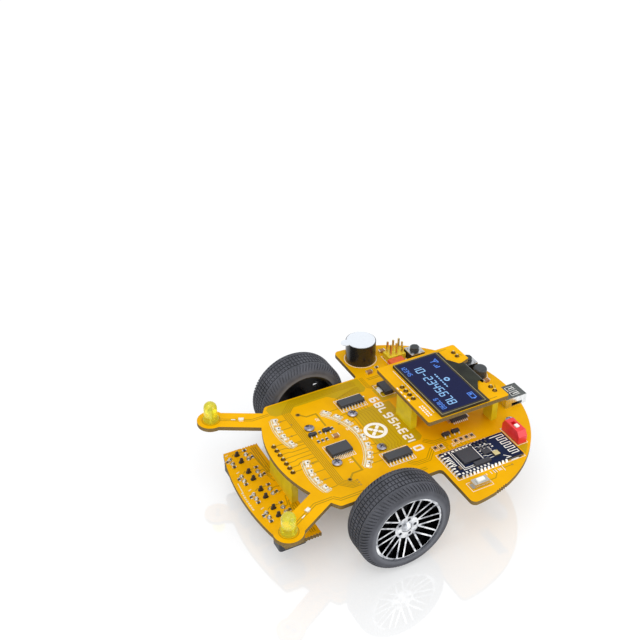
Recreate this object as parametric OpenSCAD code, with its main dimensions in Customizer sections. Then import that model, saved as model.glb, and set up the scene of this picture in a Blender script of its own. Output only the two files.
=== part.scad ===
// Line follower robot: a round circuit board carried by two gear motors and a rear ball caster,
// with a row of reflective floor sensors hung under its head and a small display on its back.
// Millimetres. The origin is on the floor midway between the two wheels.
// +Z is up, the head faces -Y and +X is the robot's own left.

/* [Wheels] */
// Outer diameter of each tyre
tyre_d = 34.8; // [33.8:0.2:35.8]
// Width of each tyre
tyre_w = 13.5; // [12:0.5:14]
// Distance between the middles of the two tyres
track = 75.5; // [75.5:0.5:79.5]
// Outer diameter of the rim that carries the tyre
rim_d = 26; // [25:0.2:27]
// Thickness of the rim's drum
rim_wall = 1; // [0.8:0.1:1.4]
// Number of twin spokes on the bright wheel cover
spoke_pairs = 10; // [6:1:12]
// Width of one spoke of the cover
spoke_w = 0.6; // [0.5:0.05:0.8]
// Distance between the two spokes of a pair
spoke_split = 2.6; // [2.3:0.1:2.8]
// Thickness of the wheel cover
cover_t = 2.4; // [2:0.1:2.6]
// Depth of the dish of the cover at its hub
cover_dish = 1.3; // [0.8:0.1:1.5]
// Diameter of the hub disc in the middle of the cover
hub_d = 9; // [8:0.2:9.6]
// Grooves across the tread in each of its three rows
tread_count = 84; // [60:2:96]
// Depth of the tread grooves
tread_depth = 0.45; // [0.3:0.05:0.6]
// Diameter of the turning axle
axle_d = 3; // [2.5:0.1:3.2]
// Depth of the flat on the axle
axle_flat = 0.5; // [0.3:0.1:0.7]

/* [Motors] */
// Height of each motor, flat to flat
motor_h = 10; // [9:0.2:11]
// Width of each motor across its rounded sides
motor_w = 12; // [11.5:0.1:12.4]
// Length of the steel can of a motor
can_l = 15; // [13:0.5:16]
// Length of the gearbox of a motor
gearbox_l = 9; // [8:0.5:10]
// Distance from the middle to the outer face of each gearbox
gearbox_x = 28; // [27.5:0.1:28.5]
// Thickness of the plastic cap behind each can
cap_t = 1.2; // [1:0.1:1.5]
// Length of the bracket along the motor
bracket_l = 9; // [8:0.5:10]
// Distance of the bracket screws from the middle line
bracket_x = 10.6; // [10:0.1:11]
// Distance between the two screws of one bracket
bracket_spacing = 18; // [18:0.1:19]
// Thickness of the bracket's ears
ear_t = 2.5; // [2:0.1:3]

/* [Fasteners] */
// Diameter of the machine screws
screw_d = 2; // [1.8:0.1:2.2]
// Diameter of the screw heads
screw_head_d = 3.6; // [3.4:0.1:4]
// Height of the screw heads
screw_head_h = 1.2; // [1:0.1:1.5]
// Width of the hexagon nuts across the flats
nut_w = 4; // [3.8:0.1:4]
// Height of the hexagon nuts
nut_h = 1.6; // [1.2:0.1:2]
// Extra width of the clearance holes for the screws
screw_play = 0.2; // [0.1:0.05:0.4]

/* [Main board] */
// Thickness of the circuit boards
board_t = 1.6; // [1.2:0.1:2]
// Diameter of the round main board
board_d = 98; // [97:0.5:100]
// Distance from the axle back to the centre of the main board
board_y = 21; // [20.5:0.1:21.3]
// Width of the main board between the wheels
waist_w = 59.6; // [58.5:0.1:60]
// Distance from the axle back to the rear end of the wheel openings
well_y = 21.6; // [21:0.1:22.2]
// Distance of each antenna tip from the middle line
antenna_x = 32.2; // [31:0.2:33.4]
// Distance of the antenna tips ahead of the axle
antenna_y = 38.4; // [37:0.2:41]
// Width of the antenna arms
antenna_w = 8.2; // [7:0.2:9]
// Diameter of the round antenna tips
antenna_tip_d = 10.4; // [9:0.2:12]

/* [Sensor board] */
// Width of the sensor board
sensor_board_w = 52.4; // [52:0.2:56]
// Length of the sensor board, front to back
sensor_board_l = 17.1; // [16.8:0.1:18.5]
// Radius of the curved front edge of the sensor board
sensor_arc_r = 97; // [90:1:110]
// Number of reflective sensors
sensor_count = 5; // [3:2:5]
// Distance between neighbouring sensors
sensor_pitch = 10.4; // [10:0.1:10.6]
// Distance of the sensor row ahead of the sensor board's pins
sensor_ahead = 8.05; // [7.9:0.05:8.2]
// Length of one sensor, front to back
sensor_l = 10.2; // [9.6:0.1:10.4]
// Width of one sensor
sensor_w = 5.8; // [5.2:0.1:6]
// Height of one sensor below its board
sensor_h = 3.4; // [3:0.1:4.2]
// Distance between the two clips of a sensor
clip_gap = 4.1; // [3.8:0.1:4.3]

/* [Headers] */
// Distance between neighbouring pins
pitch = 2.54; // [2.5:0.01:2.58]
// Height of the socket strips
socket_h = 8.5; // [7.5:0.1:8.5]
// Height of the plastic of the pin strips
strip_h = 2.5; // [2:0.1:2.6]
// Width of the socket and pin strips
header_w = 2.5; // [2.3:0.05:2.5]
// Thickness of the square pins
pin_w = 0.64; // [0.5:0.02:0.66]
// Free room round each pin inside a socket
pin_play = 0.1; // [0.06:0.02:0.16]
// Height of the programming pins above the main board
prog_h = 7.7; // [6:0.1:9]

/* [Display] */
// Distance of the display's middle to the left of the middle line
display_x = 1.4; // [0.8:0.1:1.8]
// Distance from the axle back to the display's front edge
display_y = 22.2; // [21.8:0.1:22.6]
// Width of the display board
display_w = 36; // [35.6:0.1:36.6]
// Length of the display board behind the glass
display_tail = 8.3; // [8.1:0.1:8.8]
// Width of the display glass
glass_w = 33.2; // [31:0.1:33.4]
// Length of the upper glass over the picture
glass_l = 18.9; // [18:0.1:19.4]
// Thickness of each of the two layers of glass
glass_t = 0.6; // [0.5:0.05:0.8]
// Width of the flexible strip where it folds over
flex_w = 12; // [10:0.2:12.4]
// Thickness of the flexible strip
flex_t = 0.2; // [0.15:0.05:0.25]

/* [Switches and sockets] */
// Side of the square push switches
tact_w = 6; // [5.6:0.1:6]
// Height of the push switches without the cap
tact_h = 3.5; // [3:0.1:4]
// Diameter of the push switch caps
tact_cap_d = 3.5; // [3:0.1:3.8]
// Height of the push switch caps over the switch
tact_cap_h = 1.5; // [1.2:0.1:2.5]
// Travel of the push switches
tact_travel = 0.3; // [0.2:0.05:0.4]
// Length of the reset switch
reset_l = 6; // [5.4:0.1:6.4]
// Width of the reset switch
reset_w = 3; // [2.8:0.1:3.4]
// Height of the reset switch without its plunger
reset_h = 1.8; // [1.6:0.1:2.2]
// Length of the red slide switch
dip_l = 9.8; // [9:0.1:10]
// Width of the red slide switch
dip_w = 3.6; // [3.2:0.1:3.8]
// Height of the red slide switch
dip_h = 5; // [4:0.1:5.5]
// Travel of the slide switch's handle
dip_travel = 1.8; // [1:0.1:2]
// Free room round the moving caps and handles
slide_play = 0.15; // [0.1:0.05:0.2]
// Width of the data socket
usb_w = 7.6; // [7:0.1:7.8]
// Length of the data socket
usb_l = 9.2; // [8.8:0.1:9.4]
// Height of the data socket
usb_h = 4; // [3.6:0.1:4.2]
// Sheet thickness of the data socket
usb_sheet = 0.4; // [0.3:0.05:0.5]

/* [Lamps and sounder] */
// Diameter of the antenna lamps
led_d = 5; // [4.6:0.1:5.2]
// Diameter of the flange of the antenna lamps
led_flange_d = 5.8; // [5.6:0.1:6.2]
// Height of the antenna lamps
led_h = 8; // [7.6:0.1:9.2]
// Diameter of the wires through the boards
lead_d = 0.5; // [0.4:0.05:0.6]
// Diameter of the sounder
buzzer_d = 12; // [11:0.2:12.4]
// Height of the sounder
buzzer_h = 8.8; // [7.5:0.1:10]
// Thickness of the sticker on the sounder
label_t = 0.2; // [0.15:0.05:0.3]

/* [Radio board] */
// Width of the radio board
radio_w = 13.2; // [12.8:0.1:13.4]
// Length of the radio board
radio_l = 27; // [26.6:0.1:27.2]
// Thickness of the radio board
radio_t = 0.8; // [0.6:0.1:1]
// Distance between the radio board's edge contacts
radio_pitch = 1.5; // [1.46:0.01:1.52]
// Diameter of the radio board's half-round edge contacts
radio_pad_d = 0.8; // [0.6:0.05:0.9]

/* [Caster and battery] */
// Diameter of the caster's ball
ball_d = 15; // [13.6:0.2:15]
// Free room round the ball in its housing
ball_play = 0.3; // [0.2:0.05:0.4]
// Distance from the display's rear header back to the caster
caster_back = 5; // [4.7:0.1:5.3]
// Distance between the two caster screws
caster_spacing = 39; // [38.4:0.1:39.4]
// Sheet thickness of the caster
caster_t = 1; // [0.8:0.1:1.2]
// Width of the battery
battery_w = 25; // [23:0.5:26]
// Length of the battery
battery_l = 30; // [26:0.5:31]
// Thickness of the battery
battery_h = 6; // [4:0.2:7]
// Thickness of the foam strips that hold the battery
pad_t = 1.5; // [1.2:0.1:2]
// Width of each foam strip
pad_w = 5; // [3:0.1:5]

/* [Hidden] */
$fn = 64;
eps = 0.01;
// how far a cut runs past a face
over = 1;
// ends of the main board, ahead of the axle and behind it, and its half width
nose_y = board_d / 2 - board_y;
tail_y = board_d / 2 + board_y;
wing_x = board_d / 2;
// heights over the floor
axle_z = tyre_d / 2;
deck_z = axle_z + motor_h / 2;
top_z = deck_z + board_t;
stack_h = socket_h + strip_h;
sensor_top = deck_z - stack_h;
sensor_under = sensor_top - board_t;
display_z = top_z + stack_h;
display_top = display_z + board_t;
// running clearance of the axle in the gearbox
bearing_play = 0.05;
// wheel
drum_inner_r = rim_d / 2 - rim_wall;
hub_tube_d = 6.6;
wheel_facets = 128;
cover_in = 0.6;
cover_face = tyre_w / 2 - cover_in;
cover_back = cover_face - cover_t;
hub_cap_d = 4.2;
hub_cap_rise = 0.9;
lug_d = 1.2;
lug_ring_d = 6.4;
lug_n = 5;
lug_depth = 0.6;
dish_edge = 0.6;
dish_step = 0.2;
lug_turn = 180 / lug_n;
spoke_turn = -14;
round_share = 0.75;
tyre_round = round_share * (tyre_d - rim_d) / 2;
groove_n = 4;
groove_w = 0.4;
groove_gap = 1.9;
crown_w = tyre_w - 2 * tyre_round;
shoulder_turn = 34;
sipe_w = 0.4;
sipe_l = 3.4;
sipe_turn = 24;
crown_sipe_l = (groove_n - 1) * groove_gap;
sipe_shift = 90 / tread_count;
// wheel body behind the cover
drum_set_back = 0.8;
disc_t = 1.2;
disc_back = 2;
window_n = 5;
wheel_window_d = 2.4;
wheel_window_ring_d = 17;
axle_end_gap = 0.6;
axle_inner_gap = 0.5;
flat_start = 1;
// gearbox and bracket
plate_t = 0.8;
post_d = 1.6;
can_x = gearbox_x - gearbox_l;
cap_x = can_x - can_l;
saddle_wall = 1;
saddle_floor = 1.6;
ear_end = 2.6;
terminal_w = 1.4;
terminal_l = 2.4;
terminal_t = 0.3;
terminal_y = 3.4;
cap_in = 0.3;
gearbox_r = 0.6;
gearbox_in = 0.5;
post_out = 0.3;
// screw heads and tips
screw_out = 0.6;
recess_w = 0.45;
recess_l = 2.2;
recess_up = 0.5;
recess_turn_x = 20;
recess_turn_y = 11;
// rounding of the main board's corners
shoulder_r = 1.6;
wing_r = 2;
well_r = 1.5;
root_x = 23.2;
root_y = sqrt(pow(wing_x, 2) - pow(root_x, 2)) - board_y;
// broken-off tabs left at the edges of the boards
bite_d = 0.7;
bite_pitch = 1.1;
bite_turn = 74;
bite_n = 5;
sensor_bite_n = 6;
sensor_bite_back = 3.4;
// holes for pins and wires
pin_hole_d = 1.1;
wire_play = 0.3;
pin_out = 0.9;
pin_in = 5.5;
// motor wire holes
motor_pad_x = 19.8;
motor_pad_y = 9;
// header places
sensor_header_in = 3.35;
sensor_header_y = nose_y - sensor_header_in;
sensor_rear_in = 1.35;
sensor_rear = sensor_header_y - sensor_rear_in;
sensor_front = sensor_rear + sensor_board_l;
sensor_y = sensor_header_y + sensor_ahead;
sensor_header_n = 7;
front_header_n = 4;
rear_header_n = 2;
front_header_back = 2.5;
socket_spare = 0.5;
rear_header_gap = 24.2;
prog_in = 14.3;
prog_x = -(wing_x - prog_in);
prog_y = 41.4;
prog_rows = 2;
prog_columns = 3;
// display details
glass_offset = 1;
glass_front = 5.6;
ledge_l = 1.4;
glass_end = glass_front + glass_l + ledge_l;
display_l = glass_end + display_tail;
display_r = 0.8;
rear_header_in = 5.2;
rear_header_back = glass_end + rear_header_in;
caster_y = display_y + rear_header_back + caster_back;
notch_depth = 4.4;
notch_right = -6.4;
notch_right_end = -8.2;
notch_left = 7;
notch_left_end = 12.4;
flex_tail = 5;
flex_lap = 1.2;
flex_root_w = 20;
flex_flare = 2.6;
flex_play = 0.15;
// chip packages: body length, width and height, pin count per side and pin pitch
soic_l = 9.9;
soic_w = 3.9;
soic_h = 1.6;
soic_n = 8;
soic_pitch = 1.27;
soic_lead_w = 0.42;
soic_x = 17;
soic_y = 11.7;
ssop_l = 8.2;
ssop_w = 5.3;
ssop_h = 1.7;
ssop_n = 12;
ssop_pitch = 0.65;
ssop_lead_w = 0.28;
driver_x = 4.9;
driver_y = -5.1;
tqfp_w = 7;
tqfp_h = 1.1;
tqfp_n = 8;
tqfp_pitch = 0.8;
tqfp_lead_w = 0.36;
mcu_x = 7.2;
mcu_y = 42;
sot_l = 2.9;
sot_w = 1.5;
sot_h = 1.1;
sot_pitch = 1.9;
sot_lead_w = 0.4;
reg_l = 6.6;
reg_w = 3.5;
reg_h = 1.6;
reg_pitch = 2.3;
reg_lead_w = 0.7;
reg_tab = 3;
reg_reach = 1.55;
reg_x = -18.4;
reg_y = 27.4;
lead_t = 0.2;
lead_reach = 1.05;
lead_foot = 0.5;
draft = 0.12;
dimple_in = 0.75;
dimple_d = 0.6;
dimple_depth = 0.1;
// small two-ended chips
chip_l = 1.6;
chip_w = 0.85;
chip_h = 0.5;
chip_cap = 0.3;
chip_gap = 0.1;
cap_l = 2.6;
cap_w = 1.6;
cap_h = 1;
lamp_l = 2;
lamp_w = 1.25;
lamp_h = 0.8;
// face
eye_x = 12.9;
eye_in = 8.55;
eye_y = nose_y - eye_in;
eye_n = 4;
eye_pitch = 4.6;
face_r = 25;
mouth_y = 6.1;
mouth_n = 8;
mouth_step = 11.2;
arm_chip_x = 26.7;
arm_chip_y = 28.8;
arm_chip_turn = 64;
// parts beside the motor driver, measured from its middle
driver_near_x = -7.3;
driver_far_x = -11.7;
driver_row_y = -4.3;
driver_row_step = 1.7;
driver_pair_y = -1.5;
driver_pair_step = 5;
driver_switch_y = -4.5;
driver_switch_step = 5.6;
driver_cap_y = 2.5;
// parts beside the radio board, measured from its middle
radio_row_x = -10.5;
radio_pair_y = -12.1;
radio_pair_step = 2.4;
radio_four_y = -3.5;
radio_four_step = 2.3;
radio_switch_x = -15.1;
radio_switch_y = -4.8;
radio_switch_step = 4;
// small chips round one sensor, measured from its middle
sensor_chip_x = 3.4;
sensor_chip_y = 3.5;
// other parts on the main board
sounder_chip_x = 8.4;
sounder_chip_y = 2.4;
sounder_cap_x = 10.1;
sounder_cap_y = -1.8;
sounder_rear_cap_y = 9.8;
inductor_cap_x = 4.5;
mcu_cap_x = -8;
tantalum_in = 19.1;
tantalum_x = -(wing_x - tantalum_in);
tantalum_y = 39.6;
tantalum_end_w = 2.4;
tantalum_end_h = 1.2;
tantalum_w = 3.6;
tantalum_l = 6.2;
tantalum_h = 2.5;
inductor_x = -9.1;
inductor_in = 5.4;
inductor_y = tail_y - inductor_in;
inductor_d = 5.4;
inductor_h = 4;
inductor_r = 1;
led_turn = 26;
led_flange_h = 1;
led_post = 4.5;
led_cup_d = 1.5;
led_cup_h = 1;
buzzer_in = 8.6;
buzzer_x = -(wing_x - buzzer_in);
buzzer_y = 29.2;
buzzer_pin_gap = 6.5;
sound_hole_d = 2;
sound_hole_depth = 3;
label_in = 0.3;
label_tab_d = 4;
label_tab_x = -1;
label_tab_out = 0.2;
tact_wing_in = 17.6;
tact_wing_y = 48.6;
tact_tail_x = -15.6;
tact_tail_in = 7;
tact_x = [-(wing_x - tact_wing_in), tact_tail_x];
tact_y = [tact_wing_y, tail_y - tact_tail_in];
tact_frame_t = 0.3;
tact_well = 1;
rivet_d = 0.9;
rivet_in = 0.8;
reset_in = 6.8;
reset_x = wing_x - reset_in;
reset_y = 28.9;
reset_well = 0.8;
reset_foot_w = 2.4;
reset_foot_l = 0.7;
reset_foot_h = 0.3;
plunger_l = 3;
plunger_w = 1.4;
plunger_h = 0.7;
dip_in = 22.3;
dip_x = wing_x - dip_in;
dip_y = 54.5;
dip_bevel_l = 1.2;
dip_bevel_h = 2;
dip_handle_w = 1.4;
dip_handle_l = 1.6;
dip_handle_h = 0.4;
dip_slot_depth = 1.6;
usb_x = 9;
usb_out = 0.2;
usb_end = tail_y + usb_out;
usb_gap = 1.3;
usb_gap_l = 4.6;
usb_gap_back = 0.4;
usb_spring_x = 1.5;
usb_spring_back = 0.9;
usb_spring_w = 1.7;
usb_spring_l = 3.6;
usb_tongue_w = 0.8;
usb_tongue_root = 0.6;
usb_block_l = 2.5;
usb_tab_l = 5;
usb_tab_t = 1;
usb_tab_in = 1.3;
radio_in = 18.7;
radio_x = wing_x - radio_in;
radio_y = 37.7;
radio_side_n = 13;
radio_end_n = 8;
antenna_slot_l = 4.3;
antenna_slot_y = 48;
antenna_slot_side = 0.4;
// chips on the radio board, measured from its middle
radio_chip_w = 6.6;
radio_chip_h = 0.9;
radio_chip_x = -1;
radio_chip_y = -5.2;
flash_l = 6.4;
flash_w = 1.9;
flash_x = 4.1;
flash_y = -2.4;
crystal_l = 3.2;
crystal_w = 2.2;
crystal_h = 0.7;
crystal_x = 0.2;
crystal_y = 2;
filter_l = 2.2;
filter_h = 0.8;
filter_x = 2.6;
filter_y = 4.4;
radio_small_l = 1;
radio_small_w = 0.6;
radio_small_h = 0.5;
radio_far_x = -4.6;
radio_far_y = -1.4;
radio_far_n = 5;
radio_far_step = 1.6;
radio_mid_x = -2.4;
radio_mid_y = 0.4;
radio_mid_n = 4;
radio_mid_step = 1.5;
// line sensor details
clip_w = 0.8;
clip_l = 1;
clip_h = 1.9;
clip_barb = 0.25;
barb_h = 1.1;
sensor_r = 1;
sensor_lead_x = 1.27;
sensor_lead_y = 3.2;
window_d = 3.4;
window_gap = 5;
window_rise = 0.3;
window_roof = 1.2;
window_depth = sensor_h - window_roof;
// solder cones
joint_h = 0.7;
joint_d = 1.9;
joint_top_d = 1.05;
// caster
socket_wall = 1.1;
ball_show = 4.4;
plate_w = 19;
ear_d = 7.4;
cup_roof = 0.6;
// battery and its socket
battery_y = 14;
battery_r = 1.5;
battery_tab = 4;
battery_tab_in = 2;
battery_tab_t = 0.3;
pad_in = 2;
jst_w = 6;
jst_l = 6;
jst_h = 5;
jst_x = 18;
jst_y = 38;
jst_wall = 0.8;
jst_floor = 1;

// shared shapes

function spread(i, n, step) = (i - (n - 1) / 2) * step;

module block(w, l, h) {
  translate([-w / 2, -l / 2, 0]) cube([w, l, h]);
}

module rounded(w, l, r) {
  square([w - 2 * r, l], center = true);
  square([w, l - 2 * r], center = true);
  for (x = [-1, 1], y = [-1, 1])
    translate([x * (w / 2 - r), y * (l / 2 - r)]) circle(r = r);
}

// the sliver that is cut off to round an outside corner
module corner_cut(centre, r, from, tip, to) {
  difference() {
    polygon([centre, from, tip, to]);
    translate(centre) circle(r = r);
  }
}

// height of the waist of a moulded chip body, where its leads come out
function waist(h) = h / 2 - lead_t;

// moulded chip body with its long sides sloping in above and below the waist, and a pin-one dimple
module chip_body(w, l, h) {
  difference() {
    translate([0, l / 2, 0]) rotate([90, 0, 0]) linear_extrude(l)
      polygon([[-w / 2, waist(h)], [-w / 2 + draft, 0], [w / 2 - draft, 0], [w / 2, waist(h)],
        [w / 2, waist(h) + lead_t], [w / 2 - draft, h], [-w / 2 + draft, h], [-w / 2, waist(h) + lead_t]]);
    translate([dimple_in - w / 2, dimple_in - l / 2, h - dimple_depth])
      cylinder(d = dimple_d, h = dimple_depth + over, $fn = 24);
  }
}

// one bent lead of a chip, running outwards along +X from the body
module bent_lead(reach, rise, width) {
  bend = reach - lead_foot - lead_t;
  translate([0, width / 2, 0]) rotate([90, 0, 0]) linear_extrude(width)
    polygon([[0, rise], [0, rise + lead_t], [bend + lead_t, rise + lead_t], [bend + lead_t, lead_t],
      [reach, lead_t], [reach, 0], [bend, 0], [bend, rise]]);
}

// two rows of bent leads along the +X and -X sides of a chip
module lead_rows(n, step, body_w, body_h, width) {
  for (turn = [0, 180]) rotate(turn)
    for (i = [0 : n - 1])
      translate([body_w / 2, spread(i, n, step), 0]) bent_lead(lead_reach, waist(body_h), width);
}

// metal ends of a two-ended chip lying along X
module chip_ends(l, w, h) {
  for (s = [-1, 1]) translate([s * (l - chip_cap) / 2, 0, 0]) block(chip_cap, w, h);
}

// places

module on_top(x, y) {
  translate([x, y, top_z]) children();
}

// frame whose +Z is the wheel axle, pointing outwards from the middle of the tyre
module at_wheel(side) {
  translate([side * track / 2, 0, axle_z]) rotate([0, side * 90, 0]) children();
}

// frame on the motor's axis at the middle of the robot, +Z pointing outwards
module at_motor(side) {
  translate([0, 0, axle_z]) rotate([0, side * 90, 0]) children();
}

function header_count(k) = [sensor_header_n, front_header_n, rear_header_n, rear_header_n][k];
function header_x(k) = [0, display_x, display_x - rear_header_gap / 2, display_x + rear_header_gap / 2][k];
function header_y(k) = k == 0 ? -sensor_header_y
  : display_y + (k == 1 ? front_header_back : rear_header_back);

// header frame: z grows from the main board's face towards the other board
module at_header(k) {
  if (k == 0)
    translate([header_x(k), header_y(k), deck_z]) mirror([0, 0, 1]) children();
  else
    translate([header_x(k), header_y(k), top_z]) children();
}

module each_header_pin(k) {
  at_header(k) for (i = [0 : header_count(k) - 1])
    translate([spread(i, header_count(k), pitch), 0, 0]) children();
}

module each_prog_pin() {
  for (i = [0 : prog_rows - 1], j = [0 : prog_columns - 1])
    on_top(prog_x + spread(i, prog_rows, pitch), prog_y + spread(j, prog_columns, pitch)) children();
}

module each_sensor() {
  for (i = [0 : sensor_count - 1])
    translate([spread(i, sensor_count, sensor_pitch), -sensor_y, 0]) children();
}

module each_sensor_lead() {
  each_sensor() for (x = [-1, 1], y = [-1, 1])
    translate([x * sensor_lead_x, y * sensor_lead_y, 0]) children();
}

module each_antenna() {
  for (s = [-1, 1]) on_top(s * antenna_x, -antenna_y) rotate(s * led_turn) children();
}

module each_led_wire() {
  each_antenna() for (s = [-1, 1]) translate([s * pitch / 2, 0, 0]) children();
}

module each_buzzer_wire() {
  for (s = [-1, 1]) on_top(buzzer_x + s * buzzer_pin_gap / 2, buzzer_y) children();
}

module each_screw() {
  for (x = [-1, 1], y = [-1, 1]) on_top(x * bracket_x, y * bracket_spacing / 2) children();
  for (x = [-1, 1]) on_top(x * caster_spacing / 2, caster_y) children();
}

module each_lamp() {
  for (s = [-1, 1], i = [0 : eye_n - 1]) {
    dx = spread(i, eye_n, eye_pitch);
    on_top(s * eye_x + dx, face_r - eye_y - sqrt(face_r * face_r - dx * dx))
      rotate(asin(dx / face_r)) children();
  }
  for (i = [0 : mouth_n - 1]) {
    a = spread(i, mouth_n, mouth_step);
    on_top(face_r * sin(a), mouth_y - face_r * (1 - cos(a))) rotate(-a) children();
  }
  for (s = [-1, 1]) on_top(s * arm_chip_x, -arm_chip_y) rotate(s * -arm_chip_turn) children();
}

// resistors: two rows beside the radio board, a cluster at the driver and four round each sensor
module each_resistor() {
  clear_y = sensor_lead_y + (joint_d + chip_w) / 2 + chip_gap;
  for (j = [0 : 1]) on_top(radio_x + radio_row_x, radio_y + radio_pair_y + radio_pair_step * j) children();
  for (j = [0 : 3]) on_top(radio_x + radio_row_x, radio_y + radio_four_y + radio_four_step * j) children();
  for (j = [0 : 2]) on_top(driver_x + driver_near_x, driver_y + driver_row_y + driver_row_step * j) children();
  for (j = [0 : 1]) on_top(driver_x + driver_far_x, driver_y + driver_pair_y + driver_pair_step * j) children();
  on_top(buzzer_x + sounder_chip_x, buzzer_y + sounder_chip_y) rotate(90) children();
  each_sensor() translate([0, 0, sensor_top]) {
    translate([0, -clear_y, 0]) children();
    translate([sensor_chip_x, -sensor_chip_y, 0]) rotate(90) children();
    translate([-sensor_chip_x, sensor_chip_y, 0]) rotate(90) children();
    translate([sensor_lead_x, clear_y, 0]) children();
  }
}

// ceramic capacitors: at the driver, the supply parts, the sounder and the microcontroller
module each_capacitor() {
  on_top(driver_x + driver_near_x, driver_y + driver_cap_y) rotate(90) children();
  on_top(inductor_x + inductor_cap_x, inductor_y) rotate(90) children();
  on_top(buzzer_x + sounder_cap_x, buzzer_y + sounder_cap_y) rotate(90) children();
  on_top(buzzer_x, buzzer_y + sounder_rear_cap_y) rotate(90) children();
  on_top(mcu_x + mcu_cap_x, mcu_y) rotate(90) children();
}

module each_transistor() {
  for (j = [0 : 1])
    on_top(driver_x + driver_far_x, driver_y + driver_switch_y + driver_switch_step * j) children();
  for (j = [0 : 1])
    on_top(radio_x + radio_switch_x, radio_y + radio_switch_y + radio_switch_step * j) children();
}

// boards

module antenna_arm(s) {
  turn = atan2(root_y - antenna_y, s * (antenna_x - root_x));
  length = norm([antenna_x - root_x, antenna_y - root_y]);
  translate([s * root_x, -root_y]) rotate(turn)
    translate([-antenna_w / 2, -antenna_w / 2]) square([length + antenna_w / 2, antenna_w]);
  translate([s * antenna_x, -antenna_y]) circle(d = antenna_tip_d);
}

// opening beside the waist that clears one wheel, with a rounded inner corner
module wheel_well(s) {
  front = -root_y;
  scale([s, 1]) {
    translate([waist_w / 2 + well_r, front]) square([board_d, well_y - front]);
    translate([waist_w / 2, front]) square([board_d, well_y - front - well_r]);
    translate([waist_w / 2 + well_r, well_y - well_r]) circle(r = well_r);
  }
}

// round off the shoulder ahead of a wheel and the outer corner of the wing behind it
module well_corners(s) {
  shoulder = [waist_w / 2 - shoulder_r,
    board_y - sqrt(pow(board_d / 2 - shoulder_r, 2) - pow(waist_w / 2 - shoulder_r, 2))];
  wing = [sqrt(pow(board_d / 2 - wing_r, 2) - pow(well_y + wing_r - board_y, 2)), well_y + wing_r];
  centre = [0, board_y];
  scale([s, 1]) {
    corner_cut(shoulder, shoulder_r, [waist_w / 2 + eps, shoulder[1]],
      [waist_w / 2 + over, shoulder[1] - shoulder_r - over],
      centre + (shoulder - centre) * (board_d / 2 + eps) / (board_d / 2 - shoulder_r));
    corner_cut(wing, wing_r, [wing[0], well_y - eps], [wing_x + over, well_y - over],
      centre + (wing - centre) * (board_d / 2 + eps) / (board_d / 2 - wing_r));
  }
}

module main_outline() {
  difference() {
    translate([0, board_y]) circle(d = board_d, $fn = 180);
    for (s = [-1, 1]) {
      wheel_well(s);
      well_corners(s);
    }
  }
  for (s = [-1, 1]) antenna_arm(s);
}

module main_board() {
  color("#f2a900") difference() {
    translate([0, 0, deck_z]) linear_extrude(board_t) main_outline();
    translate([0, 0, -board_t - eps]) {
      each_screw() cylinder(d = screw_d + screw_play, h = board_t + 2 * eps);
      for (k = [1 : 3]) each_header_pin(k) cylinder(d = pin_hole_d, h = board_t + 2 * eps);
      each_prog_pin() cylinder(d = pin_hole_d, h = board_t + 2 * eps);
      each_led_wire() cylinder(d = lead_d + wire_play, h = board_t + 2 * eps);
      each_buzzer_wire() cylinder(d = lead_d + wire_play, h = board_t + 2 * eps);
      for (s = [-1, 1]) on_top(s * motor_pad_x, -motor_pad_y) cylinder(d = pin_hole_d, h = board_t + 2 * eps);
      on_top(radio_x, antenna_slot_y) block(radio_w + 2 * antenna_slot_side, antenna_slot_l, board_t + 2 * eps);
      for (s = [-1, 1], i = [0 : bite_n - 1])
        on_top(0, board_y) rotate(s * (bite_turn - spread(i, bite_n, bite_pitch * 360 / PI / board_d)))
          translate([0, board_d / 2, 0]) cylinder(d = bite_d, h = board_t + 2 * eps);
    }
    each_header_pin(0) translate([0, 0, -board_t - eps]) cylinder(d = pin_hole_d, h = board_t + 2 * eps);
  }
}

module sensor_outline() {
  intersection() {
    translate([-sensor_board_w / 2, -sensor_front]) square([sensor_board_w, sensor_front - sensor_rear]);
    translate([0, sensor_arc_r - sensor_front]) circle(r = sensor_arc_r, $fn = 360);
  }
}

module sensor_board() {
  color("#f2a900") difference() {
    translate([0, 0, sensor_under]) linear_extrude(board_t) sensor_outline();
    translate([0, 0, sensor_under - eps]) {
      each_sensor() for (s = [-1, 1]) translate([s * clip_gap / 2, 0, 0])
        block(clip_w + wire_play, clip_l + wire_play, board_t + 2 * eps);
      each_sensor_lead() cylinder(d = lead_d + wire_play, h = board_t + 2 * eps);
      for (s = [-1, 1], i = [0 : sensor_bite_n - 1])
        translate([s * sensor_board_w / 2, spread(i, sensor_bite_n, bite_pitch) - sensor_rear - sensor_bite_back, 0])
          cylinder(d = bite_d, h = board_t + 2 * eps);
    }
    each_header_pin(0) translate([0, 0, stack_h - eps]) cylinder(d = pin_hole_d, h = board_t + 2 * eps);
  }
}

module display_board() {
  color("#f2a900") difference() {
    translate([display_x, display_y, display_z]) linear_extrude(board_t) difference() {
      translate([0, display_l / 2]) rounded(display_w, display_l, display_r);
      polygon([[notch_right, display_l - notch_depth], [notch_left, display_l - notch_depth],
        [notch_left_end, display_l + over], [notch_right_end, display_l + over]]);
    }
    for (k = [1 : 3]) each_header_pin(k) translate([0, 0, stack_h - eps])
      cylinder(d = pin_hole_d, h = board_t + 2 * eps);
  }
}

// display

// frame on top of the display board at the middle of the glass's front edge
module at_glass() {
  translate([display_x + glass_offset, display_y + glass_front, display_top]) children();
}

module display_glass() {
  color("#10163a") at_glass() {
    translate([-glass_w / 2, 0, 0]) cube([glass_w, glass_end - glass_front, glass_t]);
    translate([-glass_w / 2, 0, glass_t]) cube([glass_w, glass_l, glass_t]);
  }
}

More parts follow.
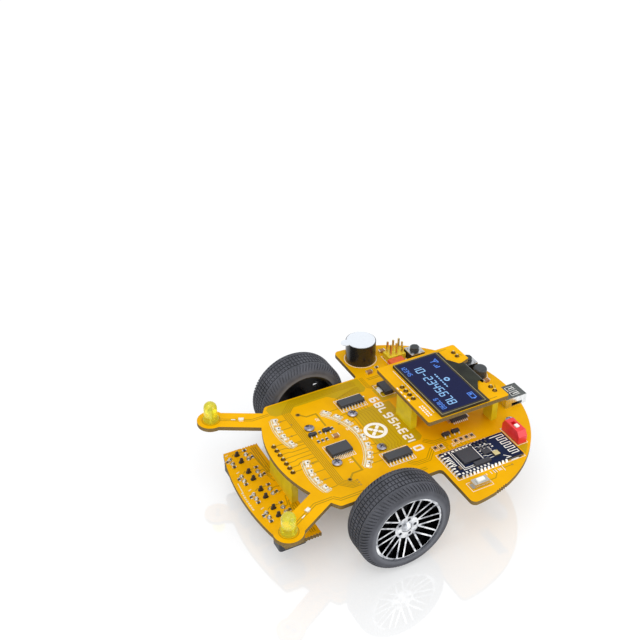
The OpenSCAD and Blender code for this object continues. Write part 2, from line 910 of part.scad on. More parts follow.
// flexible strip from the glass ledge, wide at its root and folded through the notch to the underside of the display board
module display_flex() {
  fold_r = (glass_t + board_t + flex_t) / 2;
  fold_y = display_l - notch_depth + flex_play;
  lap_y = glass_end - flex_lap;
  middle = display_x + (notch_right + notch_left) / 2;
  color("#2c3320") {
    translate([middle, display_y, display_top + glass_t]) linear_extrude(flex_t)
      polygon([[-flex_root_w / 2, lap_y], [flex_root_w / 2, lap_y], [flex_root_w / 2, glass_end],
        [flex_w / 2, glass_end + flex_flare], [-flex_w / 2, glass_end + flex_flare], [-flex_root_w / 2, glass_end]]);
    translate([middle - flex_w / 2, display_y, display_top + glass_t + flex_t / 2 - fold_r])
      rotate([90, 0, 90]) linear_extrude(flex_w) {
        translate([glass_end, fold_r - flex_t / 2]) square([fold_y - glass_end + eps, flex_t]);
        translate([fold_y - flex_tail, -fold_r - flex_t / 2]) square([flex_tail + eps, flex_t]);
        translate([fold_y, 0]) intersection() {
          difference() {
            circle(r = fold_r + flex_t / 2);
            circle(r = fold_r - flex_t / 2);
          }
          translate([0, -2 * fold_r]) square(4 * fold_r);
        }
      }
  }
}

// headers

module header_sockets() {
  color("#d8c21a") for (k = [0 : 3]) difference() {
    at_header(k) block(header_count(k) * pitch, header_w, socket_h);
    each_header_pin(k) translate([0, 0, socket_h - pin_in - socket_spare])
      block(pin_w + 2 * pin_play, pin_w + 2 * pin_play, pin_in + socket_spare + eps);
  }
}

module pin_strips() {
  color("#d8b21a") {
    for (k = [0 : 3]) difference() {
      at_header(k) translate([0, 0, socket_h]) block(header_count(k) * pitch, header_w, strip_h);
      each_header_pin(k) translate([0, 0, socket_h - eps]) block(pin_w, pin_w, strip_h + 2 * eps);
    }
    difference() {
      on_top(prog_x, prog_y) block(prog_rows * pitch, prog_columns * pitch, strip_h);
      each_prog_pin() translate([0, 0, -eps]) block(pin_w, pin_w, strip_h + 2 * eps);
    }
  }
}

module header_pins() {
  color("#d9b54a") {
    for (k = [0 : 3]) each_header_pin(k) {
      translate([0, 0, socket_h - pin_in]) block(pin_w, pin_w, pin_in + strip_h + board_t + pin_out);
      translate([0, 0, -board_t - pin_out]) block(pin_w, pin_w, board_t + pin_out);
    }
    each_prog_pin() translate([0, 0, -board_t - pin_out]) block(pin_w, pin_w, prog_h + board_t + pin_out);
  }
}

// lamps, wires and sounder

module led_frame() {
  for (s = [-1, 1]) translate([s * pitch / 2, 0, 0]) cylinder(d = lead_d, h = led_post, $fn = 24);
  translate([pitch / 2 - lead_d / 2, 0, led_post]) cylinder(d = led_cup_d, h = led_cup_h, $fn = 24);
}

module antenna_leds() {
  dome = led_h - led_d / 2;
  color("#e6e23c") each_antenna() difference() {
    rotate_extrude() {
      square([led_flange_d / 2, led_flange_h]);
      square([led_d / 2, dome]);
      translate([0, dome]) intersection() {
        circle(d = led_d);
        square(led_d);
      }
    }
    translate([0, 0, -eps]) led_frame();
    led_frame();
  }
}

module through_leads() {
  color("#c9c9c4") {
    each_antenna() led_frame();
    translate([0, 0, -board_t - pin_out]) {
      each_led_wire() cylinder(d = lead_d, h = board_t + pin_out, $fn = 24);
      each_buzzer_wire() cylinder(d = lead_d, h = board_t + pin_out, $fn = 24);
    }
    each_sensor_lead() translate([0, 0, sensor_under]) cylinder(d = lead_d, h = board_t + pin_out, $fn = 24);
  }
}

module face_leds() {
  color("#f4f1e4") each_lamp() block(lamp_l - 2 * chip_cap, lamp_w, lamp_h);
}

module buzzer() {
  color("#1c1b1b") on_top(buzzer_x, buzzer_y) difference() {
    cylinder(d = buzzer_d, h = buzzer_h);
    translate([0, 0, buzzer_h - sound_hole_depth]) cylinder(d = sound_hole_d, h = sound_hole_depth + over);
  }
}

module buzzer_label() {
  color("#f3f3f0") on_top(buzzer_x, buzzer_y) translate([0, 0, buzzer_h]) linear_extrude(label_t) {
    circle(d = buzzer_d - 2 * label_in);
    translate([label_tab_x, -buzzer_d / 2 - label_tab_out]) circle(d = label_tab_d);
  }
}

// chips

module shift_registers() {
  color("#26272b") for (s = [-1, 1]) on_top(s * soic_x, soic_y) chip_body(soic_w, soic_l, soic_h);
}

module motor_driver() {
  color("#26272b") on_top(driver_x, driver_y) chip_body(ssop_w, ssop_l, ssop_h);
}

module microcontroller() {
  color("#26272b") on_top(mcu_x, mcu_y) intersection() {
    chip_body(tqfp_w, tqfp_w, tqfp_h);
    rotate(90) chip_body(tqfp_w, tqfp_w, tqfp_h);
  }
}

module transistors() {
  color("#1d1d1f") each_transistor() chip_body(sot_w, sot_l, sot_h);
}

module voltage_regulator() {
  color("#1d1d1f") on_top(reg_x, reg_y) rotate(90) chip_body(reg_w, reg_l, reg_h);
}

module chip_leads() {
  color("#c6c7c9") {
    for (s = [-1, 1]) on_top(s * soic_x, soic_y) lead_rows(soic_n, soic_pitch, soic_w, soic_h, soic_lead_w);
    on_top(driver_x, driver_y) lead_rows(ssop_n, ssop_pitch, ssop_w, ssop_h, ssop_lead_w);
    on_top(mcu_x, mcu_y) for (turn = [0, 90]) rotate(turn)
      lead_rows(tqfp_n, tqfp_pitch, tqfp_w, tqfp_h, tqfp_lead_w);
    each_transistor() {
      for (s = [-1, 1]) translate([sot_w / 2, s * sot_pitch / 2, 0])
        bent_lead(lead_reach, waist(sot_h), sot_lead_w);
      rotate(180) translate([sot_w / 2, 0, 0]) bent_lead(lead_reach, waist(sot_h), sot_lead_w);
    }
    on_top(reg_x, reg_y) {
      for (i = [-1 : 1]) rotate(90) translate([reg_w / 2, i * reg_pitch, 0])
        bent_lead(reg_reach, waist(reg_h), reg_lead_w);
      rotate(-90) translate([reg_w / 2, 0, 0]) bent_lead(reg_reach, waist(reg_h), reg_tab);
    }
  }
}

module chip_resistors() {
  color("#3a3733") each_resistor() block(chip_l - 2 * chip_cap, chip_w, chip_h);
}

module chip_capacitors() {
  color("#9a6a3c") each_capacitor() block(cap_l - 2 * chip_cap, cap_w, cap_h);
}

module chip_terminals() {
  color("#d4d2cc") {
    each_resistor() chip_ends(chip_l, chip_w, chip_h);
    each_capacitor() chip_ends(cap_l, cap_w, cap_h);
    each_lamp() chip_ends(lamp_l, lamp_w, lamp_h);
    on_top(tantalum_x, tantalum_y) rotate(90)
      for (s = [-1, 1]) translate([s * (tantalum_l + chip_cap) / 2, 0, 0])
        block(chip_cap, tantalum_end_w, tantalum_end_h);
  }
}

module power_capacitor() {
  color("#d9541e") on_top(tantalum_x, tantalum_y) block(tantalum_w, tantalum_l, tantalum_h);
}

module power_inductor() {
  color("#2f3233") on_top(inductor_x, inductor_y) rotate_extrude() {
    square([inductor_d / 2, inductor_h - inductor_r]);
    square([inductor_d / 2 - inductor_r, inductor_h]);
    translate([inductor_d / 2 - inductor_r, inductor_h - inductor_r]) circle(r = inductor_r);
  }
}

// switches and sockets

module at_tact(k) {
  on_top(tact_x[k], tact_y[k]) children();
}

module tact_bodies() {
  color("#1b1b1d") for (k = [0, 1]) at_tact(k) difference() {
    block(tact_w, tact_w, tact_h - tact_frame_t);
    translate([0, 0, tact_h - tact_frame_t - tact_well])
      cylinder(d = tact_cap_d + 2 * slide_play, h = tact_well + over);
  }
}

module tact_frames() {
  color("#c4c5c7") for (k = [0, 1]) at_tact(k) translate([0, 0, tact_h - tact_frame_t]) difference() {
    union() {
      block(tact_w, tact_w, tact_frame_t);
      for (x = [-1, 1], y = [-1, 1]) translate([x * (tact_w / 2 - rivet_in), y * (tact_w / 2 - rivet_in), 0])
        cylinder(d = rivet_d, h = 2 * tact_frame_t, $fn = 24);
    }
    translate([0, 0, -over]) cylinder(d = tact_cap_d + 2 * slide_play, h = tact_frame_t + 2 * over);
  }
}

module tact_cap(k) {
  foot = tact_h - tact_frame_t - tact_well + tact_travel + slide_play;
  color("#26282a") at_tact(k) translate([0, 0, foot]) cylinder(d = tact_cap_d, h = tact_h + tact_cap_h - foot);
}

module mode_button() {
  tact_cap(0);
}

module power_button() {
  tact_cap(1);
}

module reset_switch() {
  color("#c9cacb") on_top(reset_x, reset_y) difference() {
    union() {
      block(reset_w, reset_l, reset_h);
      for (s = [-1, 1]) translate([0, s * (reset_l + reset_foot_l) / 2, 0])
        block(reset_foot_w, reset_foot_l, reset_foot_h);
    }
    translate([0, 0, reset_h - reset_well])
      block(plunger_w + 2 * slide_play, plunger_l + 2 * slide_play, reset_well + over);
  }
}

module reset_button() {
  foot = reset_h - reset_well + tact_travel + slide_play;
  color("#efefec") on_top(reset_x, reset_y) translate([0, 0, foot])
    block(plunger_w, plunger_l, reset_h + plunger_h - foot);
}

// the slide switch's handle rests at the left end of its slot
module dip_switch() {
  slot = dip_handle_l + dip_travel + 2 * slide_play;
  color("#d3242b") on_top(dip_x, dip_y) difference() {
    translate([0, dip_w / 2, 0]) rotate([90, 0, 0]) linear_extrude(dip_w)
      polygon([[-dip_l / 2, 0], [dip_l / 2, 0], [dip_l / 2, dip_h - dip_bevel_h], [dip_l / 2 - dip_bevel_l, dip_h],
        [dip_bevel_l - dip_l / 2, dip_h], [-dip_l / 2, dip_h - dip_bevel_h]]);
    translate([0, 0, dip_h - dip_slot_depth]) block(slot, dip_handle_w + 2 * slide_play, dip_slot_depth + over);
  }
}

module dip_slider() {
  color("#f4f1ea") on_top(dip_x + dip_travel / 2, dip_y) translate([0, 0, dip_h - dip_slot_depth + slide_play])
    block(dip_handle_l, dip_handle_w, dip_slot_depth - slide_play + dip_handle_h);
}

// folded sheet shell of the data socket, open to the rear, with spring cuts in its top
module usb_shell() {
  color("#cfd0d2") on_top(usb_x, usb_end - usb_l / 2) difference() {
    block(usb_w, usb_l, usb_h);
    translate([0, usb_sheet, usb_sheet]) block(usb_w - 2 * usb_sheet, usb_l, usb_h - 2 * usb_sheet);
    for (s = [-1, 1]) translate([s * usb_spring_x, usb_spring_back, usb_h - over]) difference() {
      block(usb_spring_w, usb_spring_l, 2 * over);
      translate([0, usb_tongue_root, -over]) block(usb_tongue_w, usb_spring_l, 4 * over);
    }
    for (s = [-1, 1]) translate([s * usb_w / 2, usb_gap_back, usb_sheet]) block(over, usb_gap_l, usb_gap);
  }
}

module usb_insert() {
  color("#1e1e20") on_top(usb_x, usb_end - usb_l) {
    translate([0, usb_sheet + usb_block_l / 2, usb_sheet])
      block(usb_w - 2 * usb_sheet, usb_block_l, usb_h - 2 * usb_sheet);
    translate([0, usb_sheet + usb_block_l + usb_tab_l / 2, (usb_h - usb_tab_t) / 2])
      block(usb_w - 2 * (usb_sheet + usb_tab_in), usb_tab_l + 2 * eps, usb_tab_t);
  }
}

// radio board

module at_radio() {
  on_top(radio_x, radio_y) children();
}

// half-round contacts along both sides and the front end
module each_radio_pad() {
  start = -radio_l / 2 + radio_pitch;
  for (s = [-1, 1], i = [0 : radio_side_n - 1])
    translate([s * radio_w / 2, start + i * radio_pitch, 0]) rotate(s > 0 ? 0 : 180) children();
  for (i = [0 : radio_end_n - 1])
    translate([spread(i, radio_end_n, radio_pitch), -radio_l / 2, 0]) rotate(-90) children();
}

module bluetooth_board() {
  color("#1f3d7a") at_radio() difference() {
    block(radio_w, radio_l, radio_t);
    each_radio_pad() translate([0, 0, -eps]) cylinder(d = radio_pad_d, h = radio_t + 2 * eps, $fn = 24);
  }
}

module bluetooth_pads() {
  color("#d8d8d4") at_radio() each_radio_pad() intersection() {
    cylinder(d = radio_pad_d, h = radio_t, $fn = 24);
    translate([-radio_pad_d, -radio_pad_d / 2, 0]) cube([radio_pad_d, radio_pad_d, radio_t]);
  }
}

module bluetooth_chips() {
  color("#232429") at_radio() translate([0, 0, radio_t]) {
    translate([radio_chip_x, radio_chip_y, 0]) block(radio_chip_w, radio_chip_w, radio_chip_h);
    translate([flash_x, flash_y, 0]) block(flash_w, flash_l, radio_chip_h);
    translate([crystal_x, crystal_y, 0]) block(crystal_w, crystal_l, crystal_h);
    translate([filter_x, filter_y, 0]) block(crystal_w, filter_l, filter_h);
    for (i = [0 : radio_far_n - 1]) translate([radio_far_x, radio_far_y + radio_far_step * i, 0])
      block(radio_small_l, radio_small_w, radio_small_h);
    for (i = [0 : radio_mid_n - 1]) translate([radio_mid_x, radio_mid_y + radio_mid_step * i, 0])
      block(radio_small_l, radio_small_w, radio_small_h);
  }
}

// line sensors

// one barbed clip standing through the sensor board
module sensor_clip() {
  translate([0, 0, sensor_under - eps]) block(clip_w, clip_l, board_t + clip_h + eps);
  translate([0, 0, sensor_top + wire_play / 2]) translate([-clip_w / 2, clip_l / 2 - eps, 0])
    rotate([90, 0, 90]) linear_extrude(clip_w) polygon([[0, 0], [clip_barb + wire_play, 0], [0, barb_h]]);
  translate([0, 0, sensor_top + wire_play / 2]) translate([-clip_w / 2, -clip_l / 2 + eps, 0])
    rotate([90, 0, 90]) linear_extrude(clip_w) polygon([[0, 0], [-clip_barb - wire_play, 0], [0, barb_h]]);
}

module line_sensors() {
  color("#20232b") each_sensor() {
    difference() {
      translate([0, 0, sensor_under - sensor_h]) linear_extrude(sensor_h) rounded(sensor_w, sensor_l, sensor_r);
      for (s = [-1, 1]) translate([0, s * window_gap / 2, sensor_under - sensor_h - eps])
        cylinder(d = window_d, h = window_depth);
    }
    for (s = [-1, 1]) translate([s * clip_gap / 2, 0, 0]) sensor_clip();
  }
}

// clear lens and dark lens set into the foot of each sensor
module sensor_windows() {
  color("#5a5f78") each_sensor() for (s = [-1, 1])
    translate([0, s * window_gap / 2, sensor_under - sensor_h + window_rise])
      cylinder(d = window_d, h = window_depth - window_rise - eps);
}

// one cone of solder round a square pin or a wire
module solder_cone(hole) {
  difference() {
    cylinder(d1 = joint_d, d2 = joint_top_d, h = joint_h, $fn = 24);
    if (hole == pin_w) translate([0, 0, -eps]) block(hole, hole, joint_h + 2 * eps);
    else translate([0, 0, -eps]) cylinder(d = hole, h = joint_h + 2 * eps, $fn = 24);
  }
}

module solder_joints() {
  color("#cdccc6") {
    for (k = [0 : 3]) each_header_pin(k) {
      translate([0, 0, stack_h + board_t]) solder_cone(pin_w);
      translate([0, 0, -board_t]) mirror([0, 0, 1]) solder_cone(pin_w);
    }
    each_sensor_lead() translate([0, 0, sensor_top]) solder_cone(lead_d);
    each_prog_pin() translate([0, 0, -board_t]) mirror([0, 0, 1]) solder_cone(pin_w);
    each_led_wire() translate([0, 0, -board_t]) mirror([0, 0, 1]) solder_cone(lead_d);
    each_buzzer_wire() translate([0, 0, -board_t]) mirror([0, 0, 1]) solder_cone(lead_d);
  }
}

// drive

module motor_section(gap) {
  intersection() {
    circle(d = motor_w + 2 * gap);
    square([motor_h + 2 * gap, motor_w + 2 * gap], center = true);
  }
}

module motor_cans() {
  color("#c2c4c6") for (s = [-1, 1]) at_motor(s)
    translate([0, 0, cap_x]) linear_extrude(can_l) motor_section(0);
}

module motor_caps() {
  color("#2a2a2c") for (s = [-1, 1]) at_motor(s) {
    translate([0, 0, cap_x - cap_t]) linear_extrude(cap_t) motor_section(-cap_in);
    for (y = [-1, 1]) translate([0, y * terminal_y, cap_x - cap_t - terminal_l])
      block(terminal_t, terminal_w, terminal_l + eps);
  }
}

module gearboxes() {
  color("#c8a24a") for (s = [-1, 1]) at_motor(s) difference() {
    union() {
      for (z = [can_x, gearbox_x - plate_t]) translate([0, 0, z]) linear_extrude(plate_t)
        rounded(motor_h, motor_w, gearbox_r);
      translate([0, 0, can_x]) linear_extrude(gearbox_l)
        rounded(motor_h - 2 * gearbox_in, motor_w - 2 * gearbox_in, gearbox_r);
      for (x = [-1, 1], y = [-1, 1]) translate([x * (motor_h / 2 - post_d), y * (motor_w / 2 - post_d), can_x])
        cylinder(d = post_d, h = gearbox_l + post_out, $fn = 24);
    }
    translate([0, 0, can_x + plate_t]) cylinder(d = axle_d + 2 * bearing_play, h = gearbox_l);
  }
}

module motor_brackets() {
  outer = motor_w / 2 + saddle_wall;
  ear = bracket_spacing / 2 + ear_end;
  color("#e8e8e4") for (s = [-1, 1]) difference() {
    translate([s * bracket_x - bracket_l / 2, 0, axle_z]) rotate([90, 0, 90]) linear_extrude(bracket_l)
      difference() {
        union() {
          translate([-outer, -motor_h / 2 - saddle_floor])
            square([2 * outer, motor_h + saddle_floor]);
          translate([-ear, motor_h / 2 - ear_t]) square([2 * ear, ear_t]);
        }
        rotate(90) motor_section(0);
      }
    for (y = [-1, 1]) on_top(s * bracket_x, y * bracket_spacing / 2) translate([0, 0, -board_t - ear_t - eps])
      cylinder(d = screw_d + screw_play, h = ear_t + 2 * eps);
  }
}

// how far below the main board's underside each screw reaches
function grip(k) = k == 0 ? ear_t : caster_t;

module screw(k) {
  shank = board_t + grip(k) + nut_h + screw_out;
  translate([0, 0, -shank]) cylinder(d = screw_d, h = shank);
  difference() {
    rotate_extrude() intersection() {
      square([screw_head_d / 2, screw_head_h]);
      translate([0, screw_head_h - screw_head_d]) circle(r = screw_head_d, $fn = 96);
    }
    for (turn = [0, 90]) rotate(turn) translate([0, 0, recess_up]) block(recess_w, recess_l, screw_head_h);
  }
}

module screws() {
  color("#b9babd") {
    for (x = [-1, 1], y = [-1, 1]) on_top(x * bracket_x, y * bracket_spacing / 2)
      rotate(x * recess_turn_x + y * recess_turn_y) screw(0);
    for (x = [-1, 1]) on_top(x * caster_spacing / 2, caster_y) screw(1);
  }
}

module nut() {
  difference() {
    cylinder(d = nut_w / cos(30), h = nut_h, $fn = 6);
    translate([0, 0, -eps]) cylinder(d = screw_d, h = nut_h + 2 * eps);
  }
}

module nuts() {
  color("#b9babd") {
    for (x = [-1, 1], y = [-1, 1])
      translate([x * bracket_x, y * bracket_spacing / 2, deck_z - grip(0) - nut_h]) nut();
    for (x = [-1, 1]) translate([x * caster_spacing / 2, caster_y, deck_z - grip(1) - nut_h]) nut();
  }
}

// wheels

// round axle with a flat along its outer part, from inside the gearbox to the wheel hub
module axle(side) {
  inner = can_x + plate_t + axle_inner_gap - track / 2;
  outer = cover_back - axle_end_gap;
  flat_from = gearbox_x + flat_start - track / 2;
  color("#b4b6b8") at_wheel(side) difference() {
    translate([0, 0, inner]) cylinder(d = axle_d, h = outer - inner);
    translate([axle_d / 2 - axle_flat, -axle_d, flat_from]) cube([axle_d, 2 * axle_d, outer - flat_from + eps]);
  }
}

module left_axle() {
  axle(1);
}

module right_axle() {
  axle(-1);
}

// black wheel body: drum, hub tube with a matching flat and a disc with five round windows
module wheel(side) {
  back = drum_set_back - tyre_w / 2;
  front = cover_back;
  color("#1a1a1c") at_wheel(side) difference() {
    union() {
      translate([0, 0, back]) difference() {
        cylinder(d = rim_d, h = front - back, $fn = wheel_facets);
        translate([0, 0, -eps]) cylinder(r = drum_inner_r, h = front - back + 2 * eps, $fn = wheel_facets);
      }
      translate([0, 0, back]) cylinder(d = hub_tube_d, h = front - back);
      translate([0, 0, front - disc_back - disc_t]) difference() {
        cylinder(d = rim_d - rim_wall, h = disc_t, $fn = wheel_facets);
        for (i = [0 : window_n - 1]) rotate(i * 360 / window_n) translate([wheel_window_ring_d / 2, 0, -eps])
          cylinder(d = wheel_window_d, h = disc_t + 2 * eps, $fn = 32);
      }
    }
    difference() {
      translate([0, 0, back - eps]) cylinder(d = axle_d, h = front - axle_end_gap - back + eps);
      translate([axle_d / 2 - axle_flat, -axle_d, back - over]) cube([axle_d, 2 * axle_d, tyre_w]);
    }
  }
}

module left_wheel() {
  wheel(1);
}

module right_wheel() {
  wheel(-1);
}

module spoke_pattern() {
  difference() {
    circle(d = rim_d, $fn = wheel_facets);
    circle(r = drum_inner_r, $fn = wheel_facets);
  }
  circle(d = hub_d);
  for (i = [0 : spoke_pairs - 1], s = [-1, 1]) rotate(i * 360 / spoke_pairs)
    translate([hub_d / 2 - over, s * spoke_split / 2 - spoke_w / 2])
      square([drum_inner_r - hub_d / 2 + over + rim_wall / 2, spoke_w]);
}

// bright wheel cover: ring, twin spokes dished towards the hub, domed cap and five lug holes
module wheel_cover(side) {
  hub_face = cover_face - cover_dish;
  dome_r = (pow(hub_cap_d / 2, 2) + pow(hub_cap_rise, 2)) / (2 * hub_cap_rise);
  color("#dcdde0") at_wheel(side) rotate(spoke_turn) {
    difference() {
      intersection() {
        translate([0, 0, cover_back]) linear_extrude(cover_t) spoke_pattern();
        rotate_extrude() polygon([[0, 0], [rim_d, 0], [rim_d, cover_face], [drum_inner_r, cover_face],
          [drum_inner_r - dish_edge, cover_face - dish_step], [hub_d / 2, hub_face], [0, hub_face]]);
      }
      for (i = [0 : lug_n - 1]) rotate(i * 360 / lug_n + lug_turn)
        translate([lug_ring_d / 2, 0, hub_face - lug_depth]) cylinder(d = lug_d, h = lug_depth + over, $fn = 24);
    }
    translate([0, 0, hub_face - eps]) rotate_extrude() intersection() {
      translate([0, hub_cap_rise - dome_r]) circle(r = dome_r, $fn = 96);
      square([hub_cap_d, hub_cap_rise]);
    }
  }
}

module left_wheel_cover() {
  wheel_cover(1);
}

module right_wheel_cover() {
  wheel_cover(-1);
}

// rubber tyre: rounded shoulders, grooves round the tread, a row of grooves across it and one over each shoulder
module tyre(side) {
  r = tyre_d / 2;
  color("#2b2c2f") at_wheel(side) difference() {
    rotate_extrude($fn = wheel_facets) difference() {
      union() {
        translate([rim_d / 2, -tyre_w / 2]) square([r - rim_d / 2 - tyre_round, tyre_w]);
        translate([rim_d / 2, -crown_w / 2]) square([r - rim_d / 2, crown_w]);
        for (y = [-1, 1]) translate([r - tyre_round, y * crown_w / 2]) circle(r = tyre_round);
      }
      translate([0, -tyre_w]) square([rim_d / 2, 2 * tyre_w]);
      for (i = [0 : groove_n - 1])
        translate([r - tread_depth, spread(i, groove_n, groove_gap) - groove_w / 2]) square([over, groove_w]);
    }
    for (i = [0 : tread_count - 1]) rotate(i * 360 / tread_count) {
      translate([r - tread_depth, -sipe_w / 2, -crown_sipe_l / 2]) cube([over, sipe_w, crown_sipe_l]);
      for (z = [-1, 1]) rotate(z * sipe_shift) translate([r - tyre_round, 0, z * crown_w / 2])
        rotate([0, -z * shoulder_turn, 0]) translate([tyre_round - tread_depth, 0, 0]) rotate([z * sipe_turn, 0, 0])
          translate([0, -sipe_w / 2, -sipe_l / 2]) cube([over, sipe_w, sipe_l]);
    }
  }
}

module left_tyre() {
  tyre(1);
}

module right_tyre() {
  tyre(-1);
}

// caster and battery

// stamped plate with two ears and a cup that holds the ball
module caster_housing() {
  hold_r = ball_d / 2 + ball_play;
  cup_r = hold_r + socket_wall;
  drop = deck_z - ball_d / 2;
  color("#c7c8ca") translate([0, caster_y, ball_d / 2]) difference() {
    union() {
      translate([0, 0, drop - caster_t]) linear_extrude(caster_t) {
        circle(d = plate_w);
        for (s = [-1, 1]) translate([s * caster_spacing / 2, 0]) circle(d = ear_d);
        square([caster_spacing, ear_d], center = true);
      }
      cylinder(r = cup_r, h = drop - caster_t + eps);
      sphere(r = cup_r, $fn = 96);
    }
    sphere(r = hold_r, $fn = 96);
    cylinder(r = hold_r, h = drop - caster_t - cup_roof);
    translate([0, 0, -cup_r - eps]) cylinder(r = cup_r + over, h = cup_r + ball_show - ball_d / 2 + eps);
    for (s = [-1, 1]) translate([s * caster_spacing / 2, 0, drop - caster_t - eps])
      cylinder(d = screw_d + screw_play, h = caster_t + 2 * eps);
  }
}

module caster_ball() {
  color("#d5d6d8") translate([0, caster_y, ball_d / 2]) sphere(d = ball_d, $fn = 96);
}

// two strips of foam, either side of the soldered pins of the display's front header
module battery_pad() {
  color("#3a3a3c") for (s = [-1, 1])
    translate([s * (battery_w / 2 - pad_w / 2), battery_y + battery_l / 2, deck_z - pad_t])
      block(pad_w, battery_l - 2 * pad_in, pad_t);
}

// soft pouch cell with a folded end
module battery() {
  color("#b9bcc2") translate([0, battery_y + battery_l / 2, deck_z - pad_t - battery_h]) {
    linear_extrude(battery_h) rounded(battery_w, battery_l, battery_r);
    translate([0, (battery_tab - battery_l) / 2, -battery_tab_t])
      block(battery_w - 2 * battery_tab_in, battery_tab, battery_tab_t + eps);
  }
}

module battery_socket() {
  color("#efece2") translate([jst_x, jst_y, deck_z - jst_h]) difference() {
    block(jst_w, jst_l, jst_h);
    translate([0, jst_wall, -eps]) block(jst_w - 2 * jst_wall, jst_l, jst_h - jst_floor);
  }
}

main_board();
sensor_board();
display_board();
bluetooth_board();
header_sockets();
pin_strips();
header_pins();
display_glass();
display_flex();
antenna_leds();
through_leads();
face_leds();
shift_registers();
motor_driver();
microcontroller();
transistors();
voltage_regulator();
chip_leads();
chip_resistors();
chip_capacitors();
chip_terminals();
power_capacitor();
power_inductor();
buzzer();
buzzer_label();
tact_bodies();
tact_frames();
mode_button();
power_button();
reset_switch();
reset_button();
dip_switch();
dip_slider();
usb_shell();
usb_insert();
bluetooth_chips();
bluetooth_pads();
line_sensors();
sensor_windows();
solder_joints();
motor_cans();
motor_caps();
gearboxes();
motor_brackets();
screws();
nuts();
left_wheel();
right_wheel();
left_wheel_cover();
right_wheel_cover();
left_tyre();
right_tyre();
left_axle();
right_axle();
caster_housing();
caster_ball();
battery();
battery_pad();
battery_socket();
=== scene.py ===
"""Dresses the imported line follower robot: materials, board artwork, screen picture, solder and studio."""
import math

import bpy
from mathutils import Matrix, Vector


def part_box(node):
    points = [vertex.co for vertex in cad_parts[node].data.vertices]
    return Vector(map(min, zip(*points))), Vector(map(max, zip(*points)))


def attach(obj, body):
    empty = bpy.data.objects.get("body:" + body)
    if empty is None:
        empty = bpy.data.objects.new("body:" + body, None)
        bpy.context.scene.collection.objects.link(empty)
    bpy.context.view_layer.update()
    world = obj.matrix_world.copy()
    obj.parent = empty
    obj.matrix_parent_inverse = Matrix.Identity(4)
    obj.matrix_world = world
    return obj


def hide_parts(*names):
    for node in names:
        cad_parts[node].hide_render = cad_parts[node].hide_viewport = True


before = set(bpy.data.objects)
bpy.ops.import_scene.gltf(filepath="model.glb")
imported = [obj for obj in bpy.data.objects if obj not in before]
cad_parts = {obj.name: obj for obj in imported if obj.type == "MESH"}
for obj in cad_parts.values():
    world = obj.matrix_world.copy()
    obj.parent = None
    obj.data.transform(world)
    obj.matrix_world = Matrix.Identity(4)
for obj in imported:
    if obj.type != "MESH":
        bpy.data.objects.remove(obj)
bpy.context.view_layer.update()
MM = 0.001
CHASSIS = "chassis"

# Looks of the materials, all procedural. Lengths in metres.
FLAT_TOP, BOARD_FACE = 0.9, 0.6  # a face lies flat where its normal has more than this along z
TREAD_FACE = 0.5  # a face belongs to the tread where its normal has less than this along x
MASK_SMOOTHER = -0.38  # roughness of the mask against the cut edge of a board
BEAD_R, SIDEWALL_R = 0.0134, 0.0149  # radii between which a painted highlight makes the tyre paler towards the rim
SENSOR_SOLDER_Z = 0.015  # between the joints of the sensor board and those of the boards above it
PIXEL_COLUMNS = 4200.0


def linear(code):
    """Linear colour of a hex code."""
    parts = [int(code[i:i + 2], 16) / 255 for i in (1, 3, 5)]
    return tuple(c / 12.92 if c <= 0.04045 else ((c + 0.055) / 1.055) ** 2.4 for c in parts) + (1.0,)


def scaled(color, k):
    """A colour made k times as bright."""
    return tuple(min(1.0, c * k) for c in color[:3]) + (1.0,)


